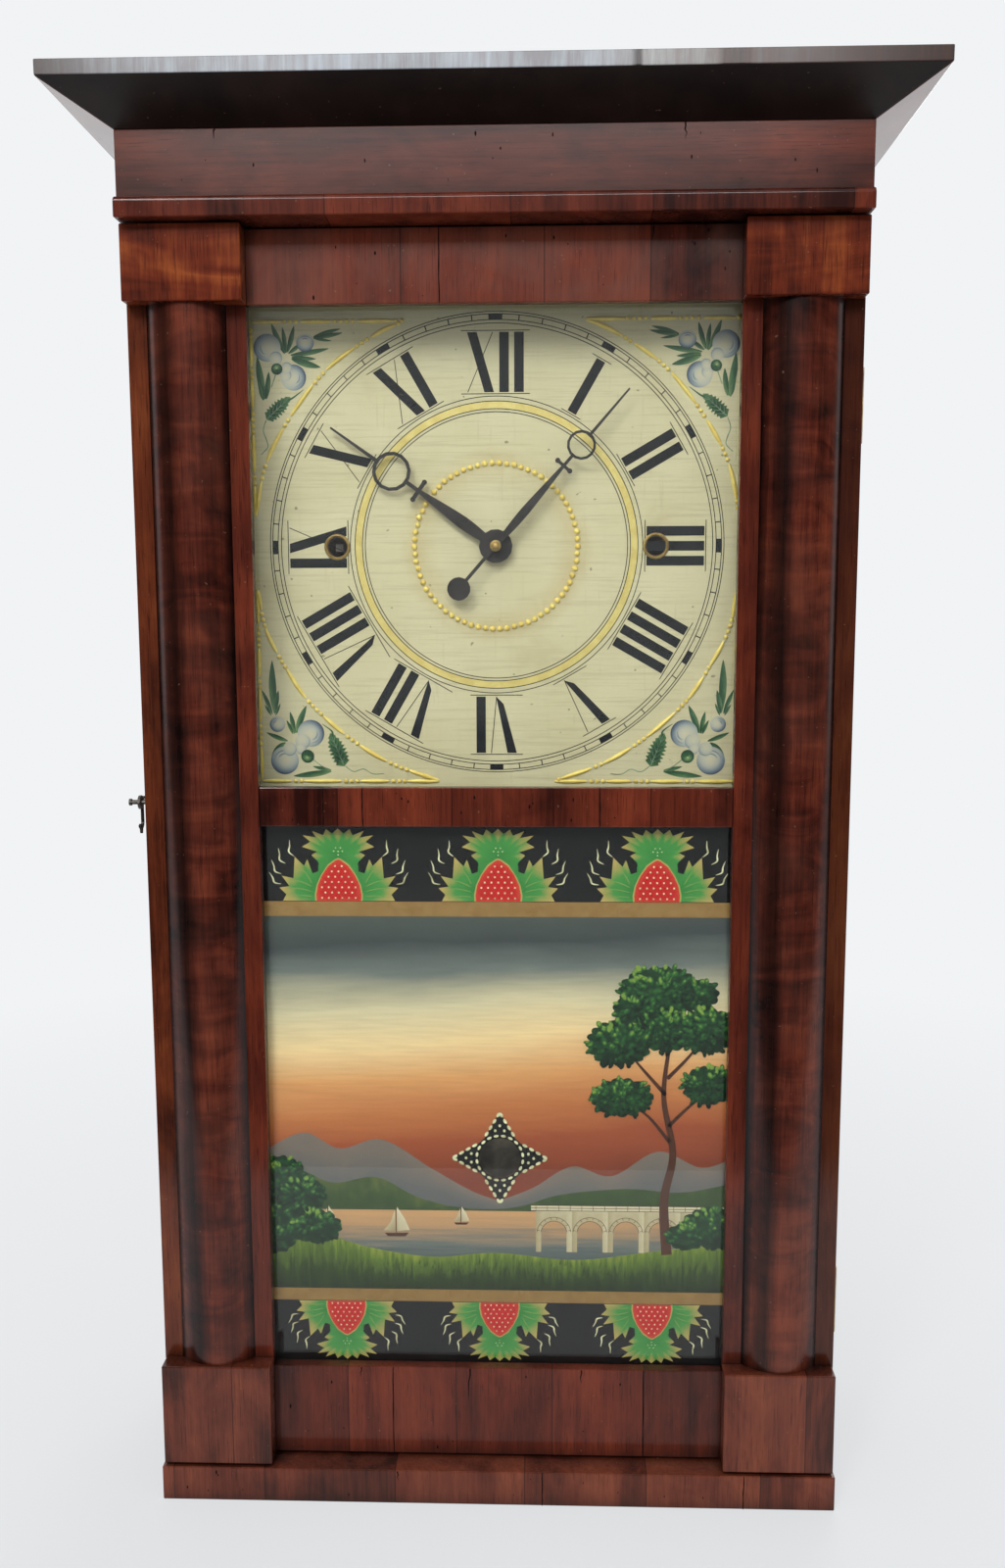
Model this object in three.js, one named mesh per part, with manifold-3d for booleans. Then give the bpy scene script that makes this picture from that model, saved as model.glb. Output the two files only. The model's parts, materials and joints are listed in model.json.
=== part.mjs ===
// A weight-driven wooden-works shelf clock in a flat-cornice case with half columns.
// Millimetres, +Z up, the front faces -Y. Every piece is first placed from the plane of the
// door's front face (y = 0) and from the ground (z = 0), and the whole is centred at the end.
import * as THREE from "three";
import { mergeVertices } from "three/addons/utils/BufferGeometryUtils.js";
import Module from "manifold-3d";

// ---------------------------------------------------------------- driving dimensions

// Case
const CASE_WIDTH = 410;
const SIDE_THICK = 11;
const BACK_THICK = 6;
const ROOM_BEHIND_MOVEMENT = 3; // with the movement's own depth, this sets the depth of the case
const BASE_HEIGHT = 21.5;
const BASE_PROUD = 15; // how far the base stands ahead of the door's front face
const TOP_BOARD_THICK = 10;
const ARCHITRAVE_HEIGHT = 11.2;
const ARCHITRAVE_PROUD = 22;
const ARCHITRAVE_INSET = 1; // each end lies this far inside the case side
const ARCHITRAVE_ROUND = 3;
const FRIEZE_HEIGHT = 37;
const FRIEZE_PROUD = 12;
const CORNICE_OVERHANG = 31;
const CORNICE_RISE = 16.5; // height of the sloping underside
const FASCIA_HEIGHT = 8;
const CORNICE_SEAT = 18; // width of the cornice's flat seat on the case
const MITRE_GAP = 0.3;

// Door
const DOOR_HEIGHT = 729;
const DOOR_THICK = 19;
const DOOR_FOOT_GAP = 1.1;
const DOOR_HEAD_GAP = 0.7;
const DOOR_BACK_GAP = 2; // between the door's back and the case, filled at the hinges
const STILE_WIDTH = 67;
const TOP_RAIL_HEIGHT = 40.6;
const MIDDLE_RAIL_HEIGHT = 23;
const BOTTOM_RAIL_HEIGHT = 57;
const TABLET_OPENING_HEIGHT = 337;
const RAIL_SETBACK = 0.8; // the rails' faces lie this far behind the stiles'
const REBATE_WIDTH = 5.5;
const REBATE_DEPTH = 8; // from the front face to the step that the glass lies against
const GLASS_THICK = 2;
const BLOCK_WIDTH = 66.5;
const BLOCK_INSET = 1;
const BLOCK_PROUD = 13;
const CAP_HEIGHT = 41;
const PLINTH_HEIGHT = 63;
const COLUMN_WIDTH = 45;
const COLUMN_RISE = 10.5;

// Hinges and latch
const HINGE_LENGTH = 42;
const HINGE_FROM_END = 95; // from each end of the door to the middle of its hinge
const LEAF_WIDTH = 9;
const LEAF_THICK = 0.8;
const KNUCKLE_RADIUS = 2.4;
const KNUCKLE_BORE = 1.35;
const HINGE_PIN_RADIUS = 1;
const LATCH_HEIGHT = 429;
const LATCH_SCREW_IN = 5; // in front of the door's back
const LATCH_REACH = 12; // from the screw to the middle of the hook's notch
const LATCH_STUD_RADIUS = 1.2;
const LATCH_STAND_OFF = 13.5; // how far the screw stands out
const HOOK_STAND_OFF = 6.2; // from the edge of the door to the hook
const HOOK_THICK = 1.4;

// Dial
const DIAL_SETBACK = 36; // from the door's front face to the dial's face
const DIAL_THICK = 7.5;
const DIAL_OVERLAP = 10; // the dial board passes the door's opening by this much, above and below
const DIAL_RAISE = 4; // the hands' centre above the middle of the door's dial opening
const HAND_HOLE_RADIUS = 6.5;
const WINDING_SPACING = 189; // between the two winding squares
const WINDING_HOLE_RADIUS = 7.2;
const GROMMET_RADIUS = 7.9;
const GROMMET_BORE = 5.9;

// Chutes, weights, cords
const CHUTE_BOARD_THICK = 6;
const CHUTE_CLEARANCE = 4.5; // on each side of the weight
const CHUTE_BELOW_CORD = 20; // the chute board ends this far below the cord that passes over it
const WEIGHT_WIDTH = 32;
const WEIGHT_DEPTH = 50;
const WEIGHT_HEIGHT = 150;
const WEIGHT_CORNER = 6;
const WEIGHT_REST = 452; // height of the weight's underside when the clock is wound
const WEIGHT_EYE_HEIGHT = 14;
const CORD_RADIUS = 0.9;
const DRUM_RADIUS = 20;
const PULLEY_RADIUS = 12.5;
const PULLEY_GROOVE = 10.1;
const PULLEY_WIDTH = 6;

// Movement
const PENDULUM_ROOM = 16.5; // between the back of the dial and the front plate
const PLATE_THICK = 8;
const PLATE_GAP = 40;
const PLATE_BESIDE_WINDING = 23.5; // the front plate passes the winding squares by this much
const PLATE_ABOVE_VERGE = 12.3;
const PILLAR_RADIUS = 6;
const PILLAR_BELOW_WHEEL = 2.7; // clear of the great wheels' teeth
const PILLAR_INSET = 10; // from the front plate's side edge
const PILLAR_FROM_END = 8; // from the plates' top and bottom edges
const ARBOR_RADIUS = 4;
const PIVOT_RADIUS = 1.8;
const WHEEL_THICK = 6;
const RUNNING_GAP = 0.5;
const SECOND_WHEEL_BELOW = 8.45; // arbor below the hands' centre
const THIRD_WHEEL_ASIDE = 7.6; // arbor to the right of the hands' centre
const THIRD_WHEEL_NEARER = 2.7; // its height above the hands, less than the second arbor's distance
const ESCAPE_WHEEL_DROP = 1.9; // its height above the hands, less than twice the third wheel's
const VERGE_ABOVE_ESCAPE = 36;
const MOTION_WHEEL_ASIDE = 21.2; // the minute wheel's stud, beside and below the hands' centre
const MOTION_WHEEL_BELOW = 21.2;

// Pendulum
const PENDULUM_LENGTH = 507; // suspension to the middle of the bob: 84 beats a minute
const BOB_RADIUS = 28;
const BOB_THICK = 13;
const ROD_WIDTH = 2;
const ROD_LOOP_HALF_WIDTH = 22; // the rod's square loop leaves room for the hour pipe
const ROD_LOOP_HALF_HEIGHT = 20;

// Small clearance between pieces that seat on each other
const SEAT_GAP = 0.3;

// ---------------------------------------------------------------- worked-out places

const dialBack = DIAL_SETBACK + DIAL_THICK;
const plateFront = dialBack + PENDULUM_ROOM;
const frontPlateBack = plateFront + PLATE_THICK;
const backPlateFront = frontPlateBack + PLATE_GAP;
const backPlateBack = backPlateFront + PLATE_THICK;
const backFront = backPlateBack + ROOM_BEHIND_MOVEMENT;
const caseBack = backFront + BACK_THICK;

const caseHalf = CASE_WIDTH / 2;
const innerHalf = caseHalf - SIDE_THICK;
const doorFoot = BASE_HEIGHT + DOOR_FOOT_GAP;
const doorHead = doorFoot + DOOR_HEIGHT;
const sideFront = DOOR_THICK + DOOR_BACK_GAP;
const architraveFoot = doorHead + DOOR_HEAD_GAP;
const friezeFoot = architraveFoot + ARCHITRAVE_HEIGHT;
const corniceFoot = friezeFoot + FRIEZE_HEIGHT;
const fasciaFoot = corniceFoot + CORNICE_RISE;
const corniceHead = fasciaFoot + FASCIA_HEIGHT;
const topBoardFoot = corniceFoot - TOP_BOARD_THICK;
const corniceFront = -FRIEZE_PROUD - CORNICE_OVERHANG;

const stileInner = caseHalf - STILE_WIDTH;
const tabletFoot = doorFoot + BOTTOM_RAIL_HEIGHT;
const tabletHead = tabletFoot + TABLET_OPENING_HEIGHT;
const dialOpeningFoot = tabletHead + MIDDLE_RAIL_HEIGHT;
const dialOpeningHead = doorHead - TOP_RAIL_HEIGHT;

const dialZ = (dialOpeningFoot + dialOpeningHead) / 2 + DIAL_RAISE;
const windingX = WINDING_SPACING / 2;

const chuteWidth = WEIGHT_WIDTH + 2 * CHUTE_CLEARANCE;
const chuteX = innerHalf - chuteWidth; // the chute board's face towards the weight
const chuteInnerX = chuteX - CHUTE_BOARD_THICK;
const weightX = chuteX + chuteWidth / 2 + 1.5;
const weightY = (dialBack + backFront) / 2;
const weightEyeHead = WEIGHT_REST + WEIGHT_HEIGHT + WEIGHT_EYE_HEIGHT;
const pulleyZ = topBoardFoot + TOP_BOARD_THICK / 2;
const cordOnPulley = PULLEY_GROOVE + SEAT_GAP + CORD_RADIUS;
const cordOnDrum = DRUM_RADIUS + SEAT_GAP + CORD_RADIUS;
const pulleyX = weightX - cordOnPulley;

// The cord's straight run in x and z, on the right: it touches the drum outside, the pulley inside.
const drumToPulley = new THREE.Vector2(pulleyX - windingX, pulleyZ - dialZ);
const cordTurn = Math.acos((cordOnDrum + cordOnPulley) / drumToPulley.length());
const cordSide = new THREE.Vector2(1, 0).rotateAround(new THREE.Vector2(), drumToPulley.angle() - cordTurn);
const cordLine = {
  foot: new THREE.Vector2(windingX, dialZ).addScaledVector(cordSide, cordOnDrum),
  top: new THREE.Vector2(pulleyX, pulleyZ).addScaledVector(cordSide, -cordOnPulley),
};
const cordShare = (chuteInnerX - cordLine.foot.x) / (cordLine.top.x - cordLine.foot.x);
const cordAtChute = cordLine.foot.y + cordShare * (cordLine.top.y - cordLine.foot.y);
const chuteHead = cordAtChute - CHUTE_BELOW_CORD;


// ---------------------------------------------------------------- materials

const mahogany = finish("mahogany", 0x4a1f17, 0.28, 0);
const pine = finish("pine", 0x9a7a52, 0.75, 0);
const cherry = finish("cherry", 0xa8683a, 0.55, 0);
const painted = finish("painted dial", 0xd6cfb0, 0.55, 0);
const glass = finish("glass", 0xcfd8d4, 0.05, 0);
const brass = finish("brass", 0xb08d4a, 0.35, 1);
const iron = finish("iron", 0x2b2724, 0.6, 0.7);
const cast = finish("cast iron", 0x3b3a39, 0.8, 0.5);
const cordage = finish("cord", 0xb9a67c, 0.95, 0);

function finish(name, color, roughness, metalness) {
  return new THREE.MeshStandardMaterial({ name, color, roughness, metalness });
}

// ---------------------------------------------------------------- building tools

const wasm = await Module();
wasm.setup();

const clock = new THREE.Group();

function piece(name, material, geometry, parent = clock) {
  const mesh = new THREE.Mesh(geometry, material);
  mesh.name = name;
  parent.add(mesh);
  return mesh;
}

function solid(geometry) {
  const bare = geometry.clone();
  bare.deleteAttribute("normal");
  bare.deleteAttribute("uv");
  const merged = mergeVertices(bare, 1e-4);
  const mesh = new wasm.Mesh({
    numProp: 3,
    vertProperties: merged.attributes.position.array,
    triVerts: new Uint32Array(merged.index.array),
  });
  return new wasm.Manifold(mesh);
}

function geometryOf(body) {
  const mesh = body.getMesh();
  const geometry = new THREE.BufferGeometry();
  geometry.setAttribute("position", new THREE.BufferAttribute(mesh.vertProperties, 3));
  geometry.setIndex(new THREE.BufferAttribute(mesh.triVerts, 1));
  return geometry;
}

function join(...geometries) {
  return geometryOf(geometries.map(solid).reduce((all, next) => all.add(next)));
}

function cut(geometry, ...tools) {
  return geometryOf(tools.map(solid).reduce((all, next) => all.subtract(next), solid(geometry)));
}

function block(x0, x1, y0, y1, z0, z1) {
  const geometry = new THREE.BoxGeometry(x1 - x0, y1 - y0, z1 - z0);
  return geometry.translate((x0 + x1) / 2, (y0 + y1) / 2, (z0 + z1) / 2);
}

// A shape drawn in x and z, given its thickness from y0 back to y1.
function plate(shape, y0, y1, curveSegments = 6) {
  const options = { depth: y1 - y0, bevelEnabled: false, curveSegments };
  return new THREE.ExtrudeGeometry(shape, options).rotateX(Math.PI / 2).translate(0, y1, 0);
}

// A shape drawn in x and y, raised from z0 to z1.
function upright(shape, z0, z1, curveSegments = 6) {
  const options = { depth: z1 - z0, bevelEnabled: false, curveSegments };
  return new THREE.ExtrudeGeometry(shape, options).translate(0, 0, z0);
}

// A shape drawn in y and z, run along x from x0 to x1.
const toSideways = new THREE.Matrix4().makeBasis(
  new THREE.Vector3(0, 1, 0),
  new THREE.Vector3(0, 0, 1),
  new THREE.Vector3(1, 0, 0),
);
function sideways(shape, x0, x1, curveSegments = 6) {
  const options = { depth: x1 - x0, bevelEnabled: false, curveSegments };
  return new THREE.ExtrudeGeometry(shape, options).applyMatrix4(toSideways).translate(x0, 0, 0);
}

// A profile of [radius, y] pairs turned about the line along y through x and z.
function turned(x, z, profile, segments = 12) {
  const points = profile.map(([radius, y]) => new THREE.Vector2(radius, y));
  return new THREE.LatheGeometry(points, segments).translate(x, 0, z);
}

function rod(x, z, radius, y0, y1, segments = 8) {
  return turned(x, z, [[0, y0], [radius, y0], [radius, y1], [0, y1]], segments);
}

function outline(points) {
  return new THREE.Shape(points.map(([a, b]) => new THREE.Vector2(a, b)));
}

function disc(radius, x = 0, z = 0) {
  return new THREE.Shape().absarc(x, z, radius, 0, 2 * Math.PI, false);
}

function hole(radius, x = 0, z = 0) {
  return new THREE.Path().absarc(x, z, radius, 0, 2 * Math.PI, true);
}

function rectangle(x0, x1, z0, z1) {
  return outline([[x0, z0], [x1, z0], [x1, z1], [x0, z1]]);
}

function polar(radius, angle) {
  return [radius * Math.cos(angle), radius * Math.sin(angle)];
}

// ---------------------------------------------------------------- case

function buildCase() {
  const baseFront = -BASE_PROUD;
  piece("case_bottom", mahogany, block(-caseHalf, caseHalf, baseFront, caseBack, 0, BASE_HEIGHT));

  const left = block(-caseHalf, -innerHalf, sideFront, caseBack, BASE_HEIGHT, corniceFoot);
  piece("case_side_left", mahogany, left);
  const right = block(innerHalf, caseHalf, sideFront, caseBack, BASE_HEIGHT, corniceFoot);
  piece("case_side_right", mahogany, right);
  const back = block(-innerHalf, innerHalf, backFront, caseBack, BASE_HEIGHT, corniceFoot);
  piece("back_board", pine, back);

  const front = -ARCHITRAVE_PROUD;
  const round = ARCHITRAVE_ROUND;
  const strip = new THREE.Shape();
  strip.moveTo(front, architraveFoot);
  strip.lineTo(sideFront, architraveFoot);
  strip.lineTo(sideFront, friezeFoot);
  strip.lineTo(front + round, friezeFoot);
  strip.absarc(front + round, friezeFoot - round, round, Math.PI / 2, Math.PI, false);
  const stripHalf = caseHalf - ARCHITRAVE_INSET;
  piece("architrave_strip", mahogany, sideways(strip, -stripHalf, stripHalf));
  const frieze = block(-caseHalf, caseHalf, -FRIEZE_PROUD, sideFront, friezeFoot, corniceFoot);
  piece("frieze_board", mahogany, frieze);

  const board = block(-innerHalf, innerHalf, sideFront, backFront, topBoardFoot, corniceFoot);
  piece("case_top", pine, cut(board, ...[-1, 1].flatMap(pulleySlot)));
}

// The slot that the pulley turns in, and the bore for its wire axle.
function pulleySlot(side) {
  const x = side * pulleyX;
  const reach = PULLEY_RADIUS + 2.5;
  const halfWidth = PULLEY_WIDTH / 2 + 0.6;
  const axleHalf = PULLEY_WIDTH / 2 + 6;
  const z0 = topBoardFoot - 1;
  const z1 = corniceFoot + 1;
  return [
    block(x - reach, x + reach, weightY - halfWidth, weightY + halfWidth, z0, z1),
    rod(x, pulleyZ, 1.7, weightY - axleHalf, weightY + axleHalf),
  ];
}

// The cornice: one bevelled section for the front and both returns, mitred at 45 degrees.
function corniceSection(face, seat, direction) {
  return outline([
    [face, corniceFoot],
    [face + direction * CORNICE_OVERHANG, fasciaFoot],
    [face + direction * CORNICE_OVERHANG, corniceHead],
    [face - direction * seat, corniceHead],
    [face - direction * seat, corniceFoot],
  ]);
}

// Everything in plan on one side of the left or right mitre line, as a tall block.
function mitreWaste(side, offset, keepFront) {
  const far = 400;
  const cornerX = side * caseHalf;
  const cornerY = -FRIEZE_PROUD + offset;
  const outer = [cornerX + side * far, cornerY - far];
  const inner = [cornerX - side * far, cornerY + far];
  const behind = [cornerX + side * far, cornerY + far];
  const ahead = [cornerX - side * far, cornerY - far];
  const waste = outline([outer, inner, keepFront ? behind : ahead]);
  return upright(waste, corniceFoot - 10, corniceHead + 10);
}

function buildCornice() {
  const span = caseHalf + CORNICE_OVERHANG;
  const front = sideways(corniceSection(-FRIEZE_PROUD, CORNICE_SEAT, -1), -span, span);
  const frontWaste = [-1, 1].map((side) => mitreWaste(side, 0, true));
  piece("cornice_front", mahogany, cut(front, ...frontWaste));
  for (const [side, name] of [[-1, "left"], [1, "right"]]) {
    const section = plate(corniceSection(side * caseHalf, CORNICE_SEAT, side), corniceFront, caseBack);
    piece("cornice_" + name, mahogany, cut(section, mitreWaste(side, MITRE_GAP * Math.SQRT2, false)));
  }
}

// ---------------------------------------------------------------- door

function latchScrewHole() {
  const shape = disc(1.8, DOOR_THICK - LATCH_SCREW_IN, LATCH_HEIGHT);
  return sideways(shape, -caseHalf - 1, -innerHalf + 1);
}

function buildDoor() {
  const step = REBATE_DEPTH;
  for (const [side, name] of [[-1, "left"], [1, "right"]]) {
    const corners = [
      [caseHalf, 0],
      [caseHalf, DOOR_THICK],
      [stileInner + REBATE_WIDTH, DOOR_THICK],
      [stileInner + REBATE_WIDTH, step],
      [stileInner, step],
      [stileInner, 0],
    ].map(([x, y]) => [side * x, y]);
    const stile = upright(outline(corners), doorFoot, doorHead);
    piece("stile_" + name, mahogany, side < 0 ? cut(stile, latchScrewHole()) : stile);
    buildColumn(side, name);
  }
  buildRail("rail_top", dialOpeningHead, doorHead, REBATE_WIDTH, 0);
  buildRail("rail_middle", tabletHead, dialOpeningFoot, REBATE_WIDTH, REBATE_WIDTH);
  buildRail("rail_bottom", doorFoot, tabletFoot, 0, REBATE_WIDTH);
  buildPane("dial_glass", dialOpeningFoot, dialOpeningHead);
  buildPane("tablet_glass", tabletFoot, tabletHead);
}

// A rail with its rebates for the glass, tongued into the stiles' rebates.
function buildRail(name, z0, z1, rebateBelow, rebateAbove) {
  const reach = stileInner + REBATE_WIDTH;
  const face = block(-stileInner, stileInner, RAIL_SETBACK, REBATE_DEPTH, z0, z1);
  const back = block(-reach, reach, REBATE_DEPTH, DOOR_THICK, z0 + rebateBelow, z1 - rebateAbove);
  piece(name, mahogany, join(face, back));
}

function buildPane(name, z0, z1) {
  const margin = REBATE_WIDTH - SEAT_GAP;
  const half = stileInner + margin;
  const y0 = REBATE_DEPTH + SEAT_GAP;
  piece(name, glass, block(-half, half, y0, y0 + GLASS_THICK, z0 - margin, z1 + margin));
}

// A half column, less than a full half round, between its two square blocks.
function buildColumn(side, name) {
  const outer = caseHalf - BLOCK_INSET;
  const middle = side * (caseHalf - STILE_WIDTH / 2);
  const x0 = side < 0 ? -outer : outer - BLOCK_WIDTH;
  const x1 = x0 + BLOCK_WIDTH;
  const plinthHead = doorFoot + PLINTH_HEIGHT;
  const capFoot = doorHead - CAP_HEIGHT;
  piece("plinth_block_" + name, mahogany, block(x0, x1, -BLOCK_PROUD, 0, doorFoot, plinthHead));
  piece("cap_block_" + name, mahogany, block(x0, x1, -BLOCK_PROUD, 0, capFoot, doorHead));

  const half = COLUMN_WIDTH / 2;
  const radius = (half * half + COLUMN_RISE * COLUMN_RISE) / (2 * COLUMN_RISE);
  const centreY = radius - COLUMN_RISE;
  const start = Math.atan2(-centreY, -half);
  const end = Math.atan2(-centreY, half);
  const section = new THREE.Shape();
  section.absarc(middle, centreY, radius, start, end, false);
  piece("column_" + name, mahogany, upright(section, plinthHead, capFoot, 14));
}

// ---------------------------------------------------------------- hinges and latch

function zCylinder(x, y, radius, z0, z1, segments = 12) {
  const geometry = new THREE.CylinderGeometry(radius, radius, z1 - z0, segments);
  return geometry.rotateX(Math.PI / 2).translate(x, y, (z0 + z1) / 2);
}

function buildHinge(name, middleZ) {
  const pinX = caseHalf + KNUCKLE_RADIUS + 0.2;
  const pinY = DOOR_THICK + DOOR_BACK_GAP / 2;
  const foot = middleZ - HINGE_LENGTH / 2;
  const third = HINGE_LENGTH / 3;
  const gap = SEAT_GAP;
  const x0 = caseHalf - LEAF_WIDTH;
  const x1 = pinX - (KNUCKLE_RADIUS + KNUCKLE_BORE) / 2 + 0.2;
  const caseY0 = sideFront - LEAF_THICK;
  const knuckle = (z0, z1) => zCylinder(pinX, pinY, KNUCKLE_RADIUS, z0, z1);

  const middleFoot = foot + third + gap;
  const middleHead = foot + 2 * third - gap;
  const doorPlate = block(x0, x1, DOOR_THICK, DOOR_THICK + LEAF_THICK, middleFoot, middleHead);
  const doorWing = block(x0, caseHalf, DOOR_THICK, DOOR_THICK + LEAF_THICK, foot, foot + HINGE_LENGTH);
  const bore = zCylinder(pinX, pinY, KNUCKLE_BORE, foot - 1, foot + HINGE_LENGTH + 1);
  const doorLeaf = cut(join(doorPlate, doorWing, knuckle(middleFoot, middleHead)), bore);
  piece(name + "_door_leaf", brass, doorLeaf);

  const caseWing = block(x0, caseHalf, caseY0, sideFront, foot, foot + HINGE_LENGTH);
  const ears = [[foot, foot + third], [foot + 2 * third, foot + HINGE_LENGTH]];
  const caseEars = ears.flatMap(([z0, z1]) => [block(x0, x1, caseY0, sideFront, z0, z1), knuckle(z0, z1)]);
  const pin = zCylinder(pinX, pinY, HINGE_PIN_RADIUS, foot, foot + HINGE_LENGTH);
  piece(name + "_case_leaf", brass, join(caseWing, ...caseEars, pin));
}

function buildLatch() {
  const edge = -caseHalf;
  const end = edge - LATCH_STAND_OFF;
  const hookX1 = edge - HOOK_STAND_OFF;
  const hookX0 = hookX1 - HOOK_THICK;
  const screwY = DOOR_THICK - LATCH_SCREW_IN;
  const studY = screwY + LATCH_REACH;
  const z = LATCH_HEIGHT;
  const at = (shape, x0, x1) => sideways(shape, x0, x1, 5);
  const studHead = at(disc(LATCH_STUD_RADIUS + 1, studY, z), hookX0 - 2.2, hookX0 - 0.6);
  const stud = at(disc(LATCH_STUD_RADIUS, studY, z), hookX0 - 1, edge);
  piece("latch_stud", iron, join(studHead, stud));

  // The hook hangs from its screw in the edge of the door. Its notch opens forwards: the hook turns
  // over the top, and drops onto the stud in the case side from above.
  const notch = LATCH_STUD_RADIUS + 0.6;
  const wall = 2.3;
  const eye = 4.2;
  const centreZ = z - LATCH_REACH;
  const arm = rectangle(screwY + notch, screwY + notch + wall, centreZ, z - 1);
  const crook = new THREE.Shape();
  crook.absarc(screwY, centreZ, notch + wall, 0, -0.85 * Math.PI, true);
  crook.absarc(screwY, centreZ, notch, -0.85 * Math.PI, 0, false);
  const tip = outline([
    [screwY - 1.8, centreZ - notch - 1],
    [screwY - 0.6, centreZ - notch - wall - 2.6],
    [screwY + 0.4, centreZ - notch - wall - 2.6],
    [screwY + 1.6, centreZ - notch - 1],
  ]);
  const parts = [disc(eye, screwY, z), arm, crook, tip].map((shape) => at(shape, hookX0, hookX1));
  const shank = at(disc(1.4, screwY, z), end + 1, -innerHalf - 2);
  const head = at(disc(2.1, screwY, z), end, end + 1.4);
  piece("latch_hook", iron, join(...parts, shank, head));
}

// ---------------------------------------------------------------- dial and hands

function buildDial() {
  const half = chuteX;
  const board = rectangle(-half, half, dialOpeningFoot - DIAL_OVERLAP, dialOpeningHead + DIAL_OVERLAP);
  board.holes.push(hole(HAND_HOLE_RADIUS, 0, dialZ));
  for (const side of [-1, 1]) board.holes.push(hole(WINDING_HOLE_RADIUS, side * windingX, dialZ));
  piece("dial_board", painted, plate(board, DIAL_SETBACK, dialBack, 12));

  const sleeve = WINDING_HOLE_RADIUS - SEAT_GAP;
  const front = DIAL_SETBACK;
  const profile = [
    [GROMMET_BORE, front - 0.6],
    [GROMMET_BORE + 0.9, front - 1.5],
    [GROMMET_RADIUS - 0.4, front - 1.1],
    [GROMMET_RADIUS, front],
    [sleeve, front],
    [sleeve, dialBack - 1],
    [GROMMET_BORE, dialBack - 1],
    [GROMMET_BORE, front - 0.6],
  ];
  for (const [side, name] of [[-1, "left"], [1, "right"]]) {
    piece("winding_grommet_" + name, brass, turned(side * windingX, dialZ, profile, 18));
  }
}

const HOUR_HAND = {
  length: 118.5,
  angle: 305.4, // degrees clockwise from twelve: seven minutes past ten
  hub: 9.9,
  ringAt: 75,
  ringRadius: 11.4,
  ringBore: 9.4,
  crossAt: 55.5,
  crossHalf: 6,
  bladeHalf: 3.7,
  neckHalf: 1.15,
  tipHalf: 0.55,
  tail: 0,
  front: DIAL_SETBACK - 5.6,
  thick: 1.4,
};
const MINUTE_HAND = {
  length: 118.2,
  angle: 41.1,
  hub: 3.6,
  ringAt: 76.2,
  ringRadius: 8.5,
  ringBore: 7,
  crossAt: 60.6,
  crossHalf: 4.6,
  bladeHalf: 2.6,
  neckHalf: 0.9,
  tipHalf: 0.5,
  tail: 33.1,
  tailDisc: 6.9,
  front: DIAL_SETBACK - 9.5,
  thick: 1.2,
};

// A hand that points up from its hub: a swelling blade, a small cross bar, an open ring, a thin tip.
function handOutline(hand) {
  const swell = hand.crossAt * 0.42;
  const blade = new THREE.Shape();
  blade.moveTo(-hand.neckHalf * 1.3, 0);
  blade.quadraticCurveTo(-hand.bladeHalf, swell * 0.6, -hand.bladeHalf, swell);
  blade.quadraticCurveTo(-hand.bladeHalf, swell + 6, -hand.neckHalf, hand.crossAt);
  blade.lineTo(-hand.neckHalf, hand.ringAt - hand.ringBore - 0.5);
  blade.lineTo(hand.neckHalf, hand.ringAt - hand.ringBore - 0.5);
  blade.lineTo(hand.neckHalf, hand.crossAt);
  blade.quadraticCurveTo(hand.bladeHalf, swell + 6, hand.bladeHalf, swell);
  blade.quadraticCurveTo(hand.bladeHalf, swell * 0.6, hand.neckHalf * 1.3, 0);
  return blade;
}

function handGeometry(hand, bore) {
  const y0 = hand.front;
  const y1 = hand.front + hand.thick;
  const ring = disc(hand.ringRadius, 0, hand.ringAt);
  ring.holes.push(hole(hand.ringBore, 0, hand.ringAt));
  const pointFoot = hand.ringAt + hand.ringBore + 0.5;
  const point = outline([
    [-hand.neckHalf, pointFoot],
    [hand.neckHalf, pointFoot],
    [hand.tipHalf, hand.length],
    [-hand.tipHalf, hand.length],
  ]);
  const crossFoot = hand.crossAt - hand.neckHalf;
  const cross = rectangle(-hand.crossHalf, hand.crossHalf, crossFoot, crossFoot + 2 * hand.neckHalf);
  const ends = [-1, 1].map((side) => disc(1.5, side * hand.crossHalf, hand.crossAt));
  const shapes = [handOutline(hand), ring, point, cross, ...ends, disc(hand.hub)];
  if (hand.tail > 0) {
    shapes.push(rectangle(-1, 1, -hand.tail, 0), disc(hand.tailDisc, 0, -hand.tail));
  }
  const joined = join(...shapes.map((shape) => plate(shape, y0, y1, 7)));
  return cut(joined, rod(0, 0, bore, y0 - 1, y1 + 1));
}

function buildHand(name, hand, bore) {
  const mesh = piece(name, iron, handGeometry(hand, bore));
  mesh.position.z = dialZ;
  mesh.rotation.y = THREE.MathUtils.degToRad(hand.angle);
}

// ---------------------------------------------------------------- toothed wheels

const ADDENDUM = 0.85; // of the module
const DEDENDUM = 1.25;
const ROOT_SHARE = 0.4; // half a tooth's width at its root, of the pitch

const pitchRadius = (gear) => (gear.module * gear.teeth) / 2;
const tipRadius = (gear) => pitchRadius(gear) + ADDENDUM * gear.module;
const rootRadius = (gear) => pitchRadius(gear) - DEDENDUM * gear.module;

// Pointed teeth, as wooden wheels have.
function toothedShape(gear) {
  const step = (2 * Math.PI) / gear.teeth;
  const points = [];
  for (let i = 0; i < gear.teeth; i++) {
    const middle = gear.phase + i * step;
    points.push(polar(rootRadius(gear), middle - ROOT_SHARE * step));
    points.push(polar(tipRadius(gear), middle));
    points.push(polar(rootRadius(gear), middle + ROOT_SHARE * step));
  }
  return outline(points);
}

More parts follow.
